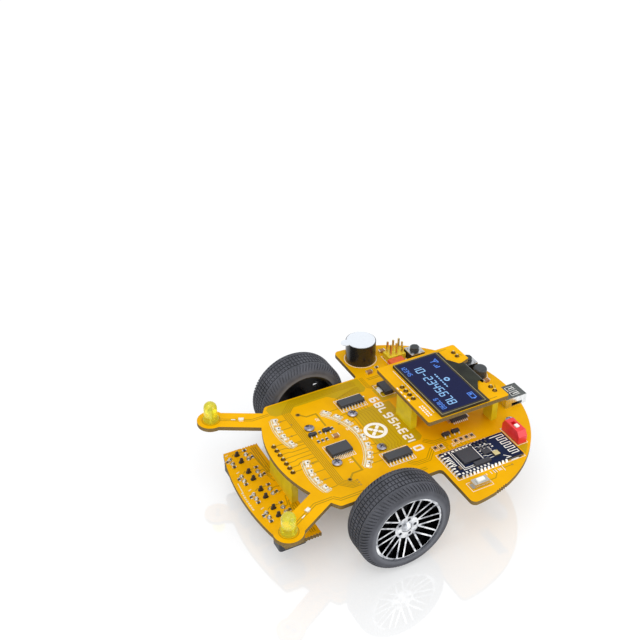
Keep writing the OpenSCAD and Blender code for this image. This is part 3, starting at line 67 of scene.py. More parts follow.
class Look:
    """A node material on one Principled shader, in object coordinates."""

    def __init__(self, name, **sockets):
        self.mat = bpy.data.materials.new(name)
        self.mat.use_nodes = True
        self.tree = self.mat.node_tree
        self.shader = self.tree.nodes["Principled BSDF"]
        for key, value in sockets.items():
            self.shader.inputs[key.replace("_", " ")].default_value = value
        self.place = self.add("ShaderNodeTexCoord").outputs["Object"]

    def add(self, kind, **props):
        node = self.tree.nodes.new(kind)
        for key, value in props.items():
            setattr(node, key, value)
        return node

    def link(self, a, b):
        self.tree.links.new(a, b)

    def stretched(self, scale):
        node = self.add("ShaderNodeMapping")
        node.inputs["Scale"].default_value = scale
        self.link(self.place, node.inputs["Vector"])
        return node.outputs["Vector"]

    def noise(self, scale, detail=4.0, rough=0.55, vector=None):
        node = self.add("ShaderNodeTexNoise")
        node.inputs["Scale"].default_value = scale
        node.inputs["Detail"].default_value = detail
        node.inputs["Roughness"].default_value = rough
        self.link(vector or self.place, node.inputs["Vector"])
        return node.outputs["Fac"]

    def wave(self, scale, direction, distortion=0.0, detail=0.0):
        node = self.add("ShaderNodeTexWave", bands_direction=direction)
        node.inputs["Scale"].default_value = scale
        node.inputs["Distortion"].default_value = distortion
        node.inputs["Detail"].default_value = detail
        self.link(self.place, node.inputs["Vector"])
        return node.outputs["Fac"]

    def ramp(self, fac, stops):
        node = self.add("ShaderNodeValToRGB")
        node.color_ramp.elements[0].position, node.color_ramp.elements[0].color = stops[0]
        node.color_ramp.elements[1].position, node.color_ramp.elements[1].color = stops[-1]
        for at, color in stops[1:-1]:
            node.color_ramp.elements.new(at).color = color
        self.link(fac, node.inputs["Fac"])
        return node.outputs["Color"]

    def math(self, op, a, b=0.5, c=None):
        node = self.add("ShaderNodeMath", operation=op)
        for i, value in enumerate((a, b, c)):
            if value is None:
                continue
            if isinstance(value, (int, float)):
                node.inputs[i].default_value = value
            else:
                self.link(value, node.inputs[i])
        return node.outputs["Value"]

    def mix(self, fac, a, b):
        """Sockets 0, 6 and 7 are the share and the two colours."""
        node = self.add("ShaderNodeMix", data_type="RGBA")
        for i, value in ((0, fac), (6, a), (7, b)):
            if isinstance(value, (int, float, tuple)):
                node.inputs[i].default_value = value
            else:
                self.link(value, node.inputs[i])
        return node.outputs[2]

    def spread(self, fac, low, high, start=0.0, end=1.0, kind="LINEAR"):
        """fac from start to end becomes low to high."""
        node = self.add("ShaderNodeMapRange", interpolation_type=kind)
        for key, value in (("From Min", start), ("From Max", end), ("To Min", low), ("To Max", high)):
            node.inputs[key].default_value = value
        self.link(fac, node.inputs["Value"])
        return node.outputs["Result"]

    def axes(self, vector):
        node = self.add("ShaderNodeSeparateXYZ")
        self.link(vector, node.inputs["Vector"])
        return node.outputs

    def normal_part(self, axis):
        return self.axes(self.add("ShaderNodeNewGeometry").outputs["Normal"])[axis]

    def set(self, socket, output):
        self.link(output, self.shader.inputs[socket])

    def bump(self, fac, strength, depth):
        node = self.add("ShaderNodeBump")
        node.inputs["Strength"].default_value = strength
        node.inputs["Distance"].default_value = depth
        self.link(fac, node.inputs["Height"])
        self.set("Normal", node.outputs["Normal"])


def moulded(name, code, rough=0.45, vary=0.14, grain=700.0, pit=2600.0, bump=0.25, depth=0.00003, **sockets):
    """Moulded plastic, resin or rubber: mottled colour, fine surface grain, uneven gloss."""
    look = Look(name, **sockets)
    color = linear(code)
    tone = look.noise(grain)
    look.set("Base Color", look.ramp(tone, [(0.3, scaled(color, 1 - vary)), (0.7, scaled(color, 1 + vary))]))
    fine = look.noise(pit, 3.0)
    look.set("Roughness", look.spread(fine, max(0.02, rough - 0.1), rough + 0.12))
    look.bump(fine, bump, depth)
    return look.mat


def metal(name, code, rough=0.25, stretch=(1, 1, 1), grain=900.0, vary=0.1, bump=0.12, **sockets):
    """Metal with a brushed or plated grain that runs along one axis."""
    look = Look(name, Metallic=1.0, **sockets)
    color = linear(code)
    along = look.stretched(stretch)
    tone = look.noise(grain, 5.0, vector=along)
    look.set("Base Color", look.ramp(tone, [(0.25, scaled(color, 1 - vary)), (0.75, scaled(color, 1 + vary))]))
    look.set("Roughness", look.spread(tone, max(0.03, rough - 0.08), rough + 0.1))
    look.bump(tone, bump, 0.00002)
    return look.mat


def circuit_board(name, face_code, deep_code, edge_code, core_code):
    """Solder mask over woven glass on the faces, cut glass-fibre layers on the edges."""
    look = Look(name, Specular_IOR_Level=0.06)
    cloud = look.noise(60.0, 5.0)
    face = look.ramp(cloud, [(0.35, linear(deep_code)), (0.65, linear(face_code))])
    weave = look.math("MULTIPLY", look.wave(700.0, "X", 0.4), look.wave(700.0, "Y", 0.4))
    face = look.mix(look.spread(weave, 0.0, 0.1), face, linear(deep_code))
    layers = look.wave(620.0, "Z", 1.5, 2.0)
    edge = look.ramp(layers, [(0.2, linear(core_code)), (0.8, linear(edge_code))])
    fibre = look.noise(2500.0)
    edge = look.mix(look.spread(fibre, 0.0, 0.5), edge, linear(core_code))
    flat = look.math("GREATER_THAN", look.math("ABSOLUTE", look.normal_part("Z")), BOARD_FACE)
    look.set("Base Color", look.mix(flat, edge, face))
    look.set("Roughness", look.math("MULTIPLY_ADD", flat, MASK_SMOOTHER, look.spread(fibre, 0.72, 0.9)))
    look.bump(weave, 0.12, 0.00002)
    return look.mat


def printed(name, code, rough=0.55, vary=0.1, **sockets):
    """A printed or etched layer: slightly worn colour with a soft edge of gloss."""
    look = Look(name, **sockets)
    color = linear(code)
    wear = look.noise(1500.0, 6.0, 0.7)
    look.set("Base Color", look.ramp(wear, [(0.3, scaled(color, 1 - vary)), (0.6, color)]))
    look.set("Roughness", look.spread(wear, rough + 0.1, rough - 0.05))
    look.bump(wear, 0.15, 0.00001)
    return look.mat


def tyre_rubber():
    """Rubber with a dusty bloom, fine ribs round the tread and a smooth sidewall with a painted highlight that makes
    it paler at the rim.
    """
    look = Look("tyre_rubber", Specular_IOR_Level=0.35)
    low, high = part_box("left_tyre")
    spot = look.axes(look.place)
    rise = look.math("SUBTRACT", spot["Z"], (low[2] + high[2]) / 2)
    radius = look.math("SQRT", look.math("MULTIPLY_ADD", spot["Y"], spot["Y"], look.math("MULTIPLY", rise, rise)))
    bloom = look.noise(140.0, 6.0, 0.6)
    base = look.ramp(bloom, [(0.3, linear("#3a3b40")), (0.72, linear("#55565d"))])
    # Painted highlight: the sidewall turns paler grey towards the rim.
    rim = look.spread(radius, 0.0, 0.55, SIDEWALL_R, BEAD_R, "SMOOTHSTEP")
    look.set("Base Color", look.mix(rim, base, linear("#75777d")))
    ribs = look.wave(1100.0, "X", 0.6, 1.0)
    grain = look.noise(2200.0, 4.0)
    tread = look.math("LESS_THAN", look.math("ABSOLUTE", look.normal_part("X")), TREAD_FACE)
    height = look.math("MULTIPLY_ADD", look.math("MULTIPLY", ribs, tread), 1.4, grain)
    look.set("Roughness", look.spread(grain, 0.5, 0.78))
    look.bump(height, 0.45, 0.00008)
    return look.mat


def chrome_plate():
    """Bright plate on the wheel covers: cloudy faces, and painted shade that darkens the sides of the spokes and of
    the rim.
    """
    look = Look("wheel_chrome", Metallic=1.0)
    cloud = look.noise(330.0, 4.0)
    face = look.ramp(cloud, [(0.34, linear("#85878d")), (0.5, linear("#d3d5d9")), (0.64, linear("#fbfcfd"))])
    # Painted shade: faces that don't point along the axle turn dark grey.
    painted_side_shade = look.spread(look.math("ABSOLUTE", look.normal_part("X")), 0.0, 1.0, 0.3, 0.92)
    look.set("Base Color", look.mix(painted_side_shade, linear("#4e5056"), face))
    look.set("Roughness", look.spread(cloud, 0.22, 0.08))
    look.bump(look.noise(900.0, 3.0), 0.06, 0.00002)
    return look.mat


def shell_steel():
    """Tinned sheet of the data socket: a painted highlight makes the edges and mouth bright, and a painted reflection
    makes the brushed top darker.
    """
    look = Look("socket_steel", Metallic=1.0)
    brushed = look.noise(260.0, 5.0, vector=look.stretched((1, 6, 1)))
    # Painted highlight on the sides and painted reflection on the top: one metal made in a bright and a dark copy by
    # which way the face points.
    side = look.ramp(brushed, [(0.3, linear("#c9cac8")), (0.7, linear("#eceded"))])
    top = look.ramp(brushed, [(0.3, linear("#585c5a")), (0.7, linear("#7d807d"))])
    look.set("Base Color", look.mix(look.math("GREATER_THAN", look.normal_part("Z"), FLAT_TOP), side, top))
    look.set("Roughness", look.spread(brushed, 0.2, 0.36))
    look.bump(brushed, 0.05, 0.00002)
    return look.mat


def chip_resin(name, code):
    """Moulded chip package: fine sandy black, with a painted sheen that makes the top slightly paler."""
    look = Look(name)
    color = linear(code)
    sand = look.noise(5200.0, 2.0)
    base = look.ramp(sand, [(0.3, scaled(color, 0.75)), (0.75, scaled(color, 1.5))])
    # Painted sheen: faces that point up are mixed a quarter of the way to grey.
    top = look.math("GREATER_THAN", look.normal_part("Z"), FLAT_TOP)
    look.set("Base Color", look.mix(look.spread(top, 0.0, 0.25), base, linear("#55575c")))
    look.set("Roughness", look.spread(sand, 0.5, 0.75))
    look.bump(sand, 0.3, 0.00002)
    return look.mat


def solder():
    """Bright solder on the low sensor board, browner flux-stained joints on the boards above it."""
    look = Look("solder", Metallic=1.0)
    tone = look.noise(1800.0, 5.0)
    bright = look.ramp(tone, [(0.36, linear("#6a5c40")), (0.6, linear("#ece9df"))])
    brown = look.ramp(tone, [(0.36, linear("#2c1b08")), (0.66, linear("#94702f"))])
    upper = look.math("GREATER_THAN", look.axes(look.place)["Z"], SENSOR_SOLDER_Z)
    look.set("Base Color", look.mix(upper, bright, brown))
    look.set("Roughness", look.spread(tone, 0.22, 0.45))
    look.bump(tone, 0.3, 0.00002)
    return look.mat


def pixels(name, dark, pale):
    """Lit dots of the screen, in fine columns."""
    look = Look(name, Emission_Strength=0.12, Roughness=0.4, Specular_IOR_Level=0.2)
    tone = look.ramp(look.wave(PIXEL_COLUMNS, "X"), [(0.0, linear(dark)), (1.0, linear(pale))])
    look.set("Base Color", tone)
    look.set("Emission Color", tone)
    return look.mat


MASK = circuit_board("board_yellow", "#eeb000", "#dfa200", "#aa9160", "#584625")
MASK_BLUE = circuit_board("board_blue", "#1d2847", "#131a31", "#8d8470", "#3b362c")
TRACE = printed("mask_over_copper", "#b38c00", rough=0.4, vary=0.14, Specular_IOR_Level=0.15)
POUR = printed("mask_over_plane", "#c09c02", rough=0.4, vary=0.1, Specular_IOR_Level=0.15)
SILK = printed("silkscreen_white", "#f6f1e6", rough=0.6, vary=0.12)
SOFT = printed("silkscreen_cream", "#e6dbb6", rough=0.6, vary=0.3)
TIN = metal("tinned", "#f3f1ea", rough=0.4, vary=0.08, grain=1800.0, bump=0.2)
GOLD = metal("gold_plated", "#f0dfa6", rough=0.3, stretch=(1, 1, 0.2))
VIA = metal("plated_hole", "#b59344", rough=0.35, vary=0.2, grain=1800.0)
MARK = printed("lamp_mark", "#4a3413", rough=0.45, vary=0.2)
PIXELS_PALE = pixels("screen_pixels_pale", "#5e94cc", "#9cc6ec")
PIXELS_BLUE = pixels("screen_pixels_blue", "#3a66c4", "#5b8fe6")
# The emission is a painted glow that makes the lamps brighter; they are not switched on.
LAMP = moulded("lamp_yellow", "#f4ee48", rough=0.1, vary=0.06, grain=200.0, bump=0.02, IOR=1.5,
               Transmission_Weight=0.72, Emission_Color=linear("#dedc28"), Emission_Strength=0.14)
NODE_LOOKS = {
    "main_board": MASK, "sensor_board": MASK, "display_board": MASK, "bluetooth_board": MASK_BLUE,
    "header_sockets": moulded("header_yellow", "#d8c213", rough=0.38, vary=0.1, grain=300.0),
    "pin_strips": moulded("strip_yellow", "#dfc01c", rough=0.42, vary=0.1, grain=300.0),
    "header_pins": GOLD, "through_leads": TIN, "solder_joints": solder(), "chip_leads": TIN, "chip_terminals": TIN,
    "bluetooth_pads": TIN,
    "display_flex": moulded("flex_film", "#22241a", rough=0.3, vary=0.8, grain=150.0, Specular_IOR_Level=0.2),
    "antenna_leds": LAMP,
    "face_leds": moulded("lamp_cream", "#f3efe2", rough=0.25, vary=0.06, grain=1500.0, Transmission_Weight=0.1),
    "shift_registers": chip_resin("chip_a", "#303236"), "motor_driver": chip_resin("chip_b", "#2d2f33"),
    "microcontroller": chip_resin("chip_c", "#2a2b2f"), "transistors": chip_resin("chip_d", "#222326"),
    "voltage_regulator": chip_resin("chip_e", "#26272a"), "bluetooth_chips": chip_resin("chip_f", "#2a2a31"),
    "chip_resistors": moulded("resistor_glaze", "#3b3a38", rough=0.3, vary=0.2, grain=2500.0),
    "chip_capacitors": moulded("fired_ceramic", "#a37345", rough=0.5, vary=0.16, grain=1800.0),
    "power_capacitor": moulded("orange_resin", "#dd5a1c", rough=0.42, vary=0.1, grain=800.0),
    "power_inductor": moulded("ferrite", "#33373a", rough=0.35, vary=0.2, grain=1200.0),
    "buzzer": moulded("sounder_black", "#1a1918", rough=0.28, vary=0.25, grain=260.0, Coat_Weight=0.2),
    "buzzer_label": printed("label_paper", "#e0e4e9", rough=0.7, vary=0.06),
    "tact_bodies": moulded("switch_black", "#1b1b1d", rough=0.5),
    "tact_frames": metal("switch_steel", "#cfd0d1", rough=0.25, stretch=(1, 8, 1), grain=260.0, vary=0.06, bump=0.04),
    "mode_button": moulded("cap_dark_a", "#2b2f30", rough=0.35),
    "power_button": moulded("cap_dark_b", "#2b2f30", rough=0.35),
    "reset_switch": metal("reset_steel", "#cfccc4", rough=0.25, stretch=(8, 1, 1)),
    "reset_button": moulded("plunger_white", "#f1f0ea", rough=0.4, vary=0.05),
    "dip_switch": moulded("switch_red", "#e62a32", rough=0.3, vary=0.08, grain=300.0, Coat_Weight=0.15),
    "dip_slider": moulded("handle_white", "#f6f2e8", rough=0.4, vary=0.05),
    "usb_shell": shell_steel(),
    "usb_insert": moulded("socket_black", "#18181a", rough=0.5),
    "line_sensors": moulded("sensor_black", "#22252c", rough=0.42, vary=0.18),
    "sensor_windows": moulded("sensor_lens", "#4d5472", rough=0.1, vary=0.1, Coat_Weight=0.6),
    "motor_cans": metal("motor_steel", "#c7c9cb", rough=0.25, stretch=(0.15, 1, 1)),
    "motor_caps": moulded("motor_cap", "#e6e3da", rough=0.5, vary=0.06),
    "gearboxes": metal("gearbox_brass", "#bfae86", rough=0.3, stretch=(1, 1, 5)),
    "motor_brackets": moulded("bracket_white", "#e9e8e2", rough=0.5, vary=0.05),
    "screws": metal("screw_steel", "#a19ea7", rough=0.2, grain=700.0, vary=0.55),
    "nuts": metal("nut_steel", "#b9bac0", rough=0.3, grain=1500.0),
    "left_wheel": moulded("drum_black_a", "#111113", rough=0.42, vary=0.25),
    "right_wheel": moulded("drum_black_b", "#111113", rough=0.42, vary=0.25),
    "left_axle": metal("axle_steel_a", "#bcbec0", rough=0.2, stretch=(8, 1, 1)),
    "right_axle": metal("axle_steel_b", "#bcbec0", rough=0.2, stretch=(8, 1, 1)),
    "caster_housing": metal("caster_steel", "#a6aaad", rough=0.26, stretch=(1, 1, 0.2), grain=500.0, vary=0.18),
    "caster_ball": metal("ball_steel", "#dadbdc", rough=0.08, vary=0.05, bump=0.03),
    "battery": metal("battery_foil", "#c4c7cc", rough=0.35, grain=160.0, vary=0.08, bump=0.5),
    "battery_pad": moulded("foam_strip", "#3b3b3d", rough=0.85, vary=0.2, grain=1500.0, bump=0.6, depth=0.0001),
    "battery_socket": moulded("socket_cream", "#efeadb", rough=0.45, vary=0.05),
}
CHROME = chrome_plate()
TYRE = tyre_rubber()
for side in ("left", "right"):
    NODE_LOOKS[side + "_wheel_cover"] = CHROME
    NODE_LOOKS[side + "_tyre"] = TYRE
for name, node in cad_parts.items():
    if name in NODE_LOOKS:
        node.data.materials.clear()
        node.data.materials.append(NODE_LOOKS[name])


# Flat artwork on the boards: copper, printing and the screen's picture. Plain lengths are millimetres from here on.

SEGMENTS = {"0": "abcdef", "1": "bc", "2": "abged", "3": "abgcd", "4": "fgbc", "5": "afgcd", "6": "afgedc",
            "7": "abc", "8": "abcdefg", "9": "abcdfg", "-": "g"}
STROKES = {"a": ((0, 2), (1, 2)), "b": ((1, 2), (1, 1)), "c": ((1, 1), (1, 0)), "d": ((0, 0), (1, 0)),
           "e": ((0, 0), (0, 1)), "f": ((0, 1), (0, 2)), "g": ((0, 1), (1, 1))}
SHARPEST_MITRE = 0.3
HAIR, HAIRS = 0.0006, 7  # step in height between shapes that may cross, and how many steps there are
EDGE_BEVEL, BEVEL_STEPS = 0.06, 3
SIDES = (-1, 1)


def cos_sin(turn):
    """Cosine and sine of an angle in degrees."""
    return math.cos(math.radians(turn)), math.sin(math.radians(turn))


class Artwork:
    """Flat shapes on one level that become one thin piece."""

    def __init__(self):
        self.verts = []
        self.faces = []

    def poly(self, points):
        start = len(self.verts)
        self.verts += points
        self.faces.append(tuple(range(start, len(self.verts))))

    def bar(self, x, y, w, l, turn=0.0):
        c, s = cos_sin(turn)
        self.poly([(x + c * a * w / 2 - s * b * l / 2, y + s * a * w / 2 + c * b * l / 2)
                   for a, b in ((-1, -1), (1, -1), (1, 1), (-1, 1))])

    def outline(self, x, y, w, l, t, turn=0.0):
        c, s = cos_sin(turn)
        corners = [(-w / 2, -l / 2), (w / 2, -l / 2), (w / 2, l / 2), (-w / 2, l / 2)]
        self.ribbon([(x + c * a - s * b, y + s * a + c * b) for a, b in corners + corners[:1]], t, closed=True)

    def ring(self, x, y, inner, outer, steps=28):
        """A ring, or a disc where inner is 0."""
        at = [cos_sin(360 * i / steps) for i in range(steps)]
        for (ca, sa), (cb, sb) in zip(at, at[1:] + at[:1]):
            if inner > 0:
                self.poly([(x + inner * ca, y + inner * sa), (x + outer * ca, y + outer * sa),
                           (x + outer * cb, y + outer * sb), (x + inner * cb, y + inner * sb)])
            else:
                self.poly([(x, y), (x + outer * ca, y + outer * sa), (x + outer * cb, y + outer * sb)])

    def mitres(self, points, closed=False):
        """Each corner with the vector that moves both of its sides out by one."""
        pts = [Vector(p) for p in points]
        n = len(pts)
        out = []
        for i, p in enumerate(pts):
            before = (p - pts[i - 1]).normalized() if i or closed else None
            after = (pts[(i + 1) % n] - p).normalized() if i < n - 1 or closed else None
            d1, d2 = before or after, after or before
            side = Vector((-d1.y, d1.x))
            mitre = (side + Vector((-d2.y, d2.x))).normalized()
            out.append((p, mitre / max(SHARPEST_MITRE, mitre.dot(side))))
        return out

    def ribbon(self, points, width, closed=False):
        """A line of even width with mitred corners."""
        corners = self.mitres(points[:-1] if closed else points, closed)
        sides = [(p + m * width / 2, p - m * width / 2) for p, m in corners]
        for (a, b), (c, d) in list(zip(sides, sides[1:])) + ([(sides[-1], sides[0])] if closed else []):
            self.poly([tuple(b), tuple(d), tuple(c), tuple(a)])

    def bus(self, points, count, gap, width):
        """Parallel lines that keep their distance round the corners."""
        for k in range(count):
            shift = (k - (count - 1) / 2) * gap
            self.ribbon([tuple(p + m * shift) for p, m in self.mitres(points)], width)

    def arc(self, x, y, radius, start, end, width, steps=18):
        """A curved line about x, y; angles in degrees from +X."""
        turns = [cos_sin(start + (end - start) * i / steps) for i in range(steps + 1)]
        self.ribbon([(x + radius * c, y + radius * s) for c, s in turns], width)

    def number(self, text, x, y, w, h, step, t, turned=False):
        """Plain seven-stroke numbers, starting at x, y; turned ones read towards -X."""
        k = -1 if turned else 1
        for i, sign in enumerate(text):
            for stroke in SEGMENTS[sign]:
                (ax, ay), (bx, by) = STROKES[stroke]
                self.ribbon([(x + k * (i * step + ax * w), y + k * ay * h / 2),
                             (x + k * (i * step + bx * w), y + k * by * h / 2)], t)

    def make(self, name, z, material, thick=0.02):
        """z is in metres; the piece is thick millimetres deep below it, or above it where thick is negative."""
        mesh = bpy.data.meshes.new(name)
        n = len(self.verts)
        lift = [0.0] * n
        for i, face in enumerate(self.faces):
            for v in face:
                lift[v] = math.copysign(i % HAIRS * HAIR * MM, thick)
        verts = [(x * MM, y * MM, z + up) for (x, y), up in zip(self.verts, lift)]
        verts += [(x * MM, y * MM, z - thick * MM) for x, y in self.verts]
        faces = []
        for face in self.faces:
            area = sum(self.verts[a][0] * self.verts[b][1] - self.verts[b][0] * self.verts[a][1]
                       for a, b in zip(face, face[1:] + face[:1]))
            top = face if (area > 0) == (thick > 0) else face[::-1]
            faces += [top, tuple(v + n for v in top[::-1])]
            faces += [(a, a + n, b + n, b) for a, b in zip(top, top[1:] + top[:1])]
        mesh.from_pydata(verts, [], faces)
        add_piece(name, mesh, material)


def add_piece(name, mesh, material, bevel=0.0):
    """A fixed piece with one material and, where bevel isn't 0, rounded edges."""
    mesh.materials.append(material)
    piece = bpy.data.objects.new(name, mesh)
    bpy.context.scene.collection.objects.link(piece)
    if bevel:
        mod = piece.modifiers.new("edge", "BEVEL")
        mod.width = bevel * MM
        mod.segments = BEVEL_STEPS
        mod.limit_method = "ANGLE"
    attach(piece, CHASSIS)
    return piece


def top_of(node):
    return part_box(node)[1][2]


# Levels of the boards, and how far each layer of artwork lies over them, in metres.
TOP = top_of("main_board")
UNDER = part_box("main_board")[0][2]
LOW = top_of("sensor_board")
HIGH = top_of("display_board")
RADIO = top_of("bluetooth_board")
PLANE_LIFT, LINE_LIFT, LAND_LIFT, PRINT_LIFT = 0.016 * MM, 0.030 * MM, 0.042 * MM, 0.054 * MM
BOARD_LINE_LIFT, BOARD_PRINT_LIFT = 0.018 * MM, 0.030 * MM  # on the boards without planes and lands

# Places that several pieces share.
PIN_PITCH = 2.54
CHIP_X, CHIP_Y, CHIP_PITCH = 17, 11.7, 1.27  # the two 16-pin chips
CHIP_ROW = [CHIP_Y + (i - 3.5) * CHIP_PITCH for i in range(8)]
DRIVER_X, DRIVER_Y, DRIVER_PITCH = 4.9, -5.1, 0.65
EYE_X, EYE_Y, MOUTH_Y, FACE_R = 12.9, 5.55, -18.9, 25  # centres and radius of the rows of lamps
ARM_X, ARM_Y = 32.2, -38.4  # lamps on the arms
WIRE_X, WIRE_Y = 19.8, -9.0  # holes for the motors' wires
SCREW_X, SCREW_Y = 10.6, 9.0
RIM_Y, RIM_R = 21.0, 44.6  # outermost line along the board's rim
BADGE_X, BADGE_Y = 1.2, 11.9
SENSOR_PITCH = 10.4
DISPLAY_X = 1.4
RADIO_X, RADIO_HALF, RADIO_FRONT, PAD_PITCH = 30.3, 6.6, 24.2, 1.5

# Widths of lines.
HAIRLINE, FINE, COPPER, WIDE, BOLD = 0.22, 0.3, 0.34, 0.36, 0.4
PRINT = 0.16
LINE_GAP = 0.9


def lamp_places():
    """The surface lamps of the eyes and the mouth: x, y and turn in degrees."""
    eyes = []
    for s in SIDES:
        for i in range(4):
            dx = (i - 1.5) * 4.6
            eyes.append((s * EYE_X + dx, EYE_Y - math.sqrt(FACE_R ** 2 - dx * dx),
                         math.degrees(math.asin(dx / FACE_R))))
    mouth = []
    for i in range(8):
        turn = (i - 3.5) * 11.2
        c, s = cos_sin(turn)
        mouth.append((FACE_R * s, MOUTH_Y + FACE_R * c, -turn))
    return eyes, mouth


EYE_LAMPS, MOUTH_LAMPS = lamp_places()
LAMPS = EYE_LAMPS + MOUTH_LAMPS


def board_planes():
    """Copper planes under the mask."""
    planes = Artwork()
    planes.poly([(-29.2, -16.8), (-27.8, -18.2), (-24.4, -18.2), (-22.6, -16.4), (-22.6, -11.0), (-24.6, -9.0),
                 (-24.6, 5.6), (-21.0, 9.2), (-21.0, 19.8), (-22.6, 21.4), (-29.2, 21.4)])
    planes.poly([(-11.8, 12.0), (-9.4, 9.6), (-3.4, 9.0), (3.2, 8.6), (11.6, 8.6), (13.0, 10.0), (13.0, 23.6),
                 (11.4, 25.2), (-11.8, 25.2)])
    planes.poly([(-20.4, 22.9), (-12.6, 22.9), (-12.6, 30.0), (-20.4, 30.0)])
    planes.poly([(21.4, 52.4), (36.6, 52.4), (33.0, 56.0), (21.4, 56.0)])
    planes.make("board_planes", TOP + PLANE_LIFT, POUR)


def board_lines():
    """Copper lines under the mask."""
    lines = Artwork()
    lines.bus([(-27.2, 19.0), (-27.2, -8.0), (-22.6, -12.6), (19.4, -12.6), (22.4, -9.6), (22.4, -7.4)],
              5, 0.66, COPPER)
    for x, y, _ in EYE_LAMPS:
        lines.ribbon([(x + 0.6, y + 1.0), (x + 0.6, -14.2)], WIDE)
    for x, y, _ in MOUTH_LAMPS:
        k = math.copysign(0.4, x)
        lines.ribbon([(x, y + 1.0), (x + k, min(y + 2.6, 8.0)), (x + k, 8.4)], COPPER)
    for i in range(7):
        x = (i - 3) * PIN_PITCH
        lines.ribbon([(x, -23.6), (x, -21.2), (x * 0.8, -20.0), (x * 0.8, -14.2)], WIDE)
    for i, y in enumerate(CHIP_ROW):
        lines.ribbon([(-13.4, y), (-11.0, y), (-9.6, y + 1.0), (10.4, y + 1.0), (11.6, y), (13.6, y)], FINE)
        x = -21.2 - 0.4 * i
        lines.ribbon([(-20.3, y), (x, y), (x - 0.6, y + 0.6), (x - 0.6, 19.0)], HAIRLINE)
    for s in SIDES:
        lines.bus([(s * 31.4, -36.9), (s * 24.9, -25.2), (s * 24.9, -18.4)], 2, LINE_GAP, COPPER)
        lines.ribbon([(s * 19.25, -8.45), (s * 17.4, -6.6), (s * 17.4, -2.8), (s * 9.6, -2.8)], 0.7)
    lines.bus([(24.9, -18.4), (26.9, -16.4), (26.9, 17.5)], 2, LINE_GAP, COPPER)
    for i in range(9):
        y = 26.4 + PAD_PITCH * i
        lines.ribbon([(23.4, y), (21.3, y), (20.6, y + 0.4)], FINE)
    for i in range(6):
        start, end = -10 + 3.2 * i, -8 + 2.6 * i
        lines.ribbon([(start, 57.2), (start, 60.4), (end, 62.6), (end, 64.5)], COPPER)
    lines.ribbon([(37.2, 39.5), (39.2, 41.5), (39.2, 44.4)], COPPER)
    lines.ribbon([(42.2, 32.9), (42.2, 35.5), (40.4, 37.3), (37.4, 37.3)], COPPER)
    lines.bus([(-27.0, 24.6), (-27.0, 33.6), (-24.6, 36.0), (-24.6, 47.0), (-27.6, 50.0)], 2, LINE_GAP, BOLD)
    lines.bus([(-29.0, 22.6), (-22.8, 22.6), (-21.2, 24.2), (-21.2, 34.0)], 3, 0.6, 0.26)
    lines.bus([(20.3, 14.0), (21.8, 14.0), (23.4, 15.6), (23.4, 20.4), (19.4, 24.4), (19.4, 31.0)], 3, 0.8, FINE)
    lines.bus([(13.8, 24.0), (16.8, 27.0), (16.8, 35.0)], 3, 0.8, FINE)
    for s in SIDES:
        lines.ring(s * ARM_X, ARM_Y, 3.15, 3.45, 32)
    lines.make("board_lines", TOP + LINE_LIFT, TRACE)


def board_lands():
    """Bare tinned lands."""
    lands = Artwork()
    for s in SIDES:
        for k in SIDES:
            for y in CHIP_ROW:
                lands.bar(s * CHIP_X + k * 2.95, y, 1.0, 0.6)
    for x, y, turn in LAMPS:
        c, s = cos_sin(turn)
        for k in SIDES:
            lands.bar(x + k * 1.15 * c, y + k * 1.15 * s, 0.9, 1.3, turn)
    for i in range(12):
        for k in SIDES:
            lands.bar(DRIVER_X + k * 3.6, DRIVER_Y + (i - 5.5) * DRIVER_PITCH, 0.9, 0.36)
    lands.make("board_lands", TOP + LAND_LIFT, TIN)


def board_vias():
    """Plated rings of the wire holes and plated-through dots at the ends of the lines."""
    dots = Artwork()
    for s in SIDES:
        dots.ring(s * WIRE_X, WIRE_Y, 0.56, 0.9)
    places = [(22.4 + 0.66 * k, -6.9) for k in (-2, 0, 2)]
    places += [(-22.6 + 1.9 * i, 24.4) for i in range(3)]
    places += [(x + 0.6, -16.4) for x, _, _ in EYE_LAMPS[::2]]
    places += [(-15.8, -13.6), (-8.2, 2.0), (14.4, 2.6), (9.4, 20.8), (39.2, 44.6)]
    for x, y in places:
        dots.ring(x, y, 0.16, 0.42, 14)
    dots.make("board_vias", TOP + LAND_LIFT, VIA)


def lamp_marks():
    """Brown marks on the lamps, at the end towards the tail."""
    marks = Artwork()
    for x, y, turn in LAMPS:
        c, s = cos_sin(turn)
        marks.bar(x - s * 0.3, y + c * 0.3, 0.75, 0.5, turn)
    marks.make("lamp_marks", top_of("face_leds") + 0.008 * MM, MARK, thick=0.006)


def lamp_bands():
    """Cream bands and frames round the lamps."""
    bands = Artwork()
    for s in SIDES:
        bands.arc(s * EYE_X, EYE_Y, 26.15, 250.5, 289.5, 0.6)
        bands.arc(s * EYE_X, EYE_Y, 26.9, 251.5, 288.5, 0.2)
    bands.arc(0, MOUTH_Y, 23.75, 47.0, 133.0, 0.6, 30)
    bands.arc(0, MOUTH_Y, 23.0, 48.0, 132.0, 0.2, 30)
    for x, y, turn in LAMPS:
        c, s = cos_sin(turn)
        bands.outline(x, y, 3.9, 2.0, 0.2, turn)
        for k in SIDES:
            bands.bar(x - s * 1.3 + k * 1.25 * c, y + c * 1.3 + k * 1.25 * s, 0.9, 0.4, turn)
    bands.make("lamp_bands", TOP + PRINT_LIFT, SOFT)


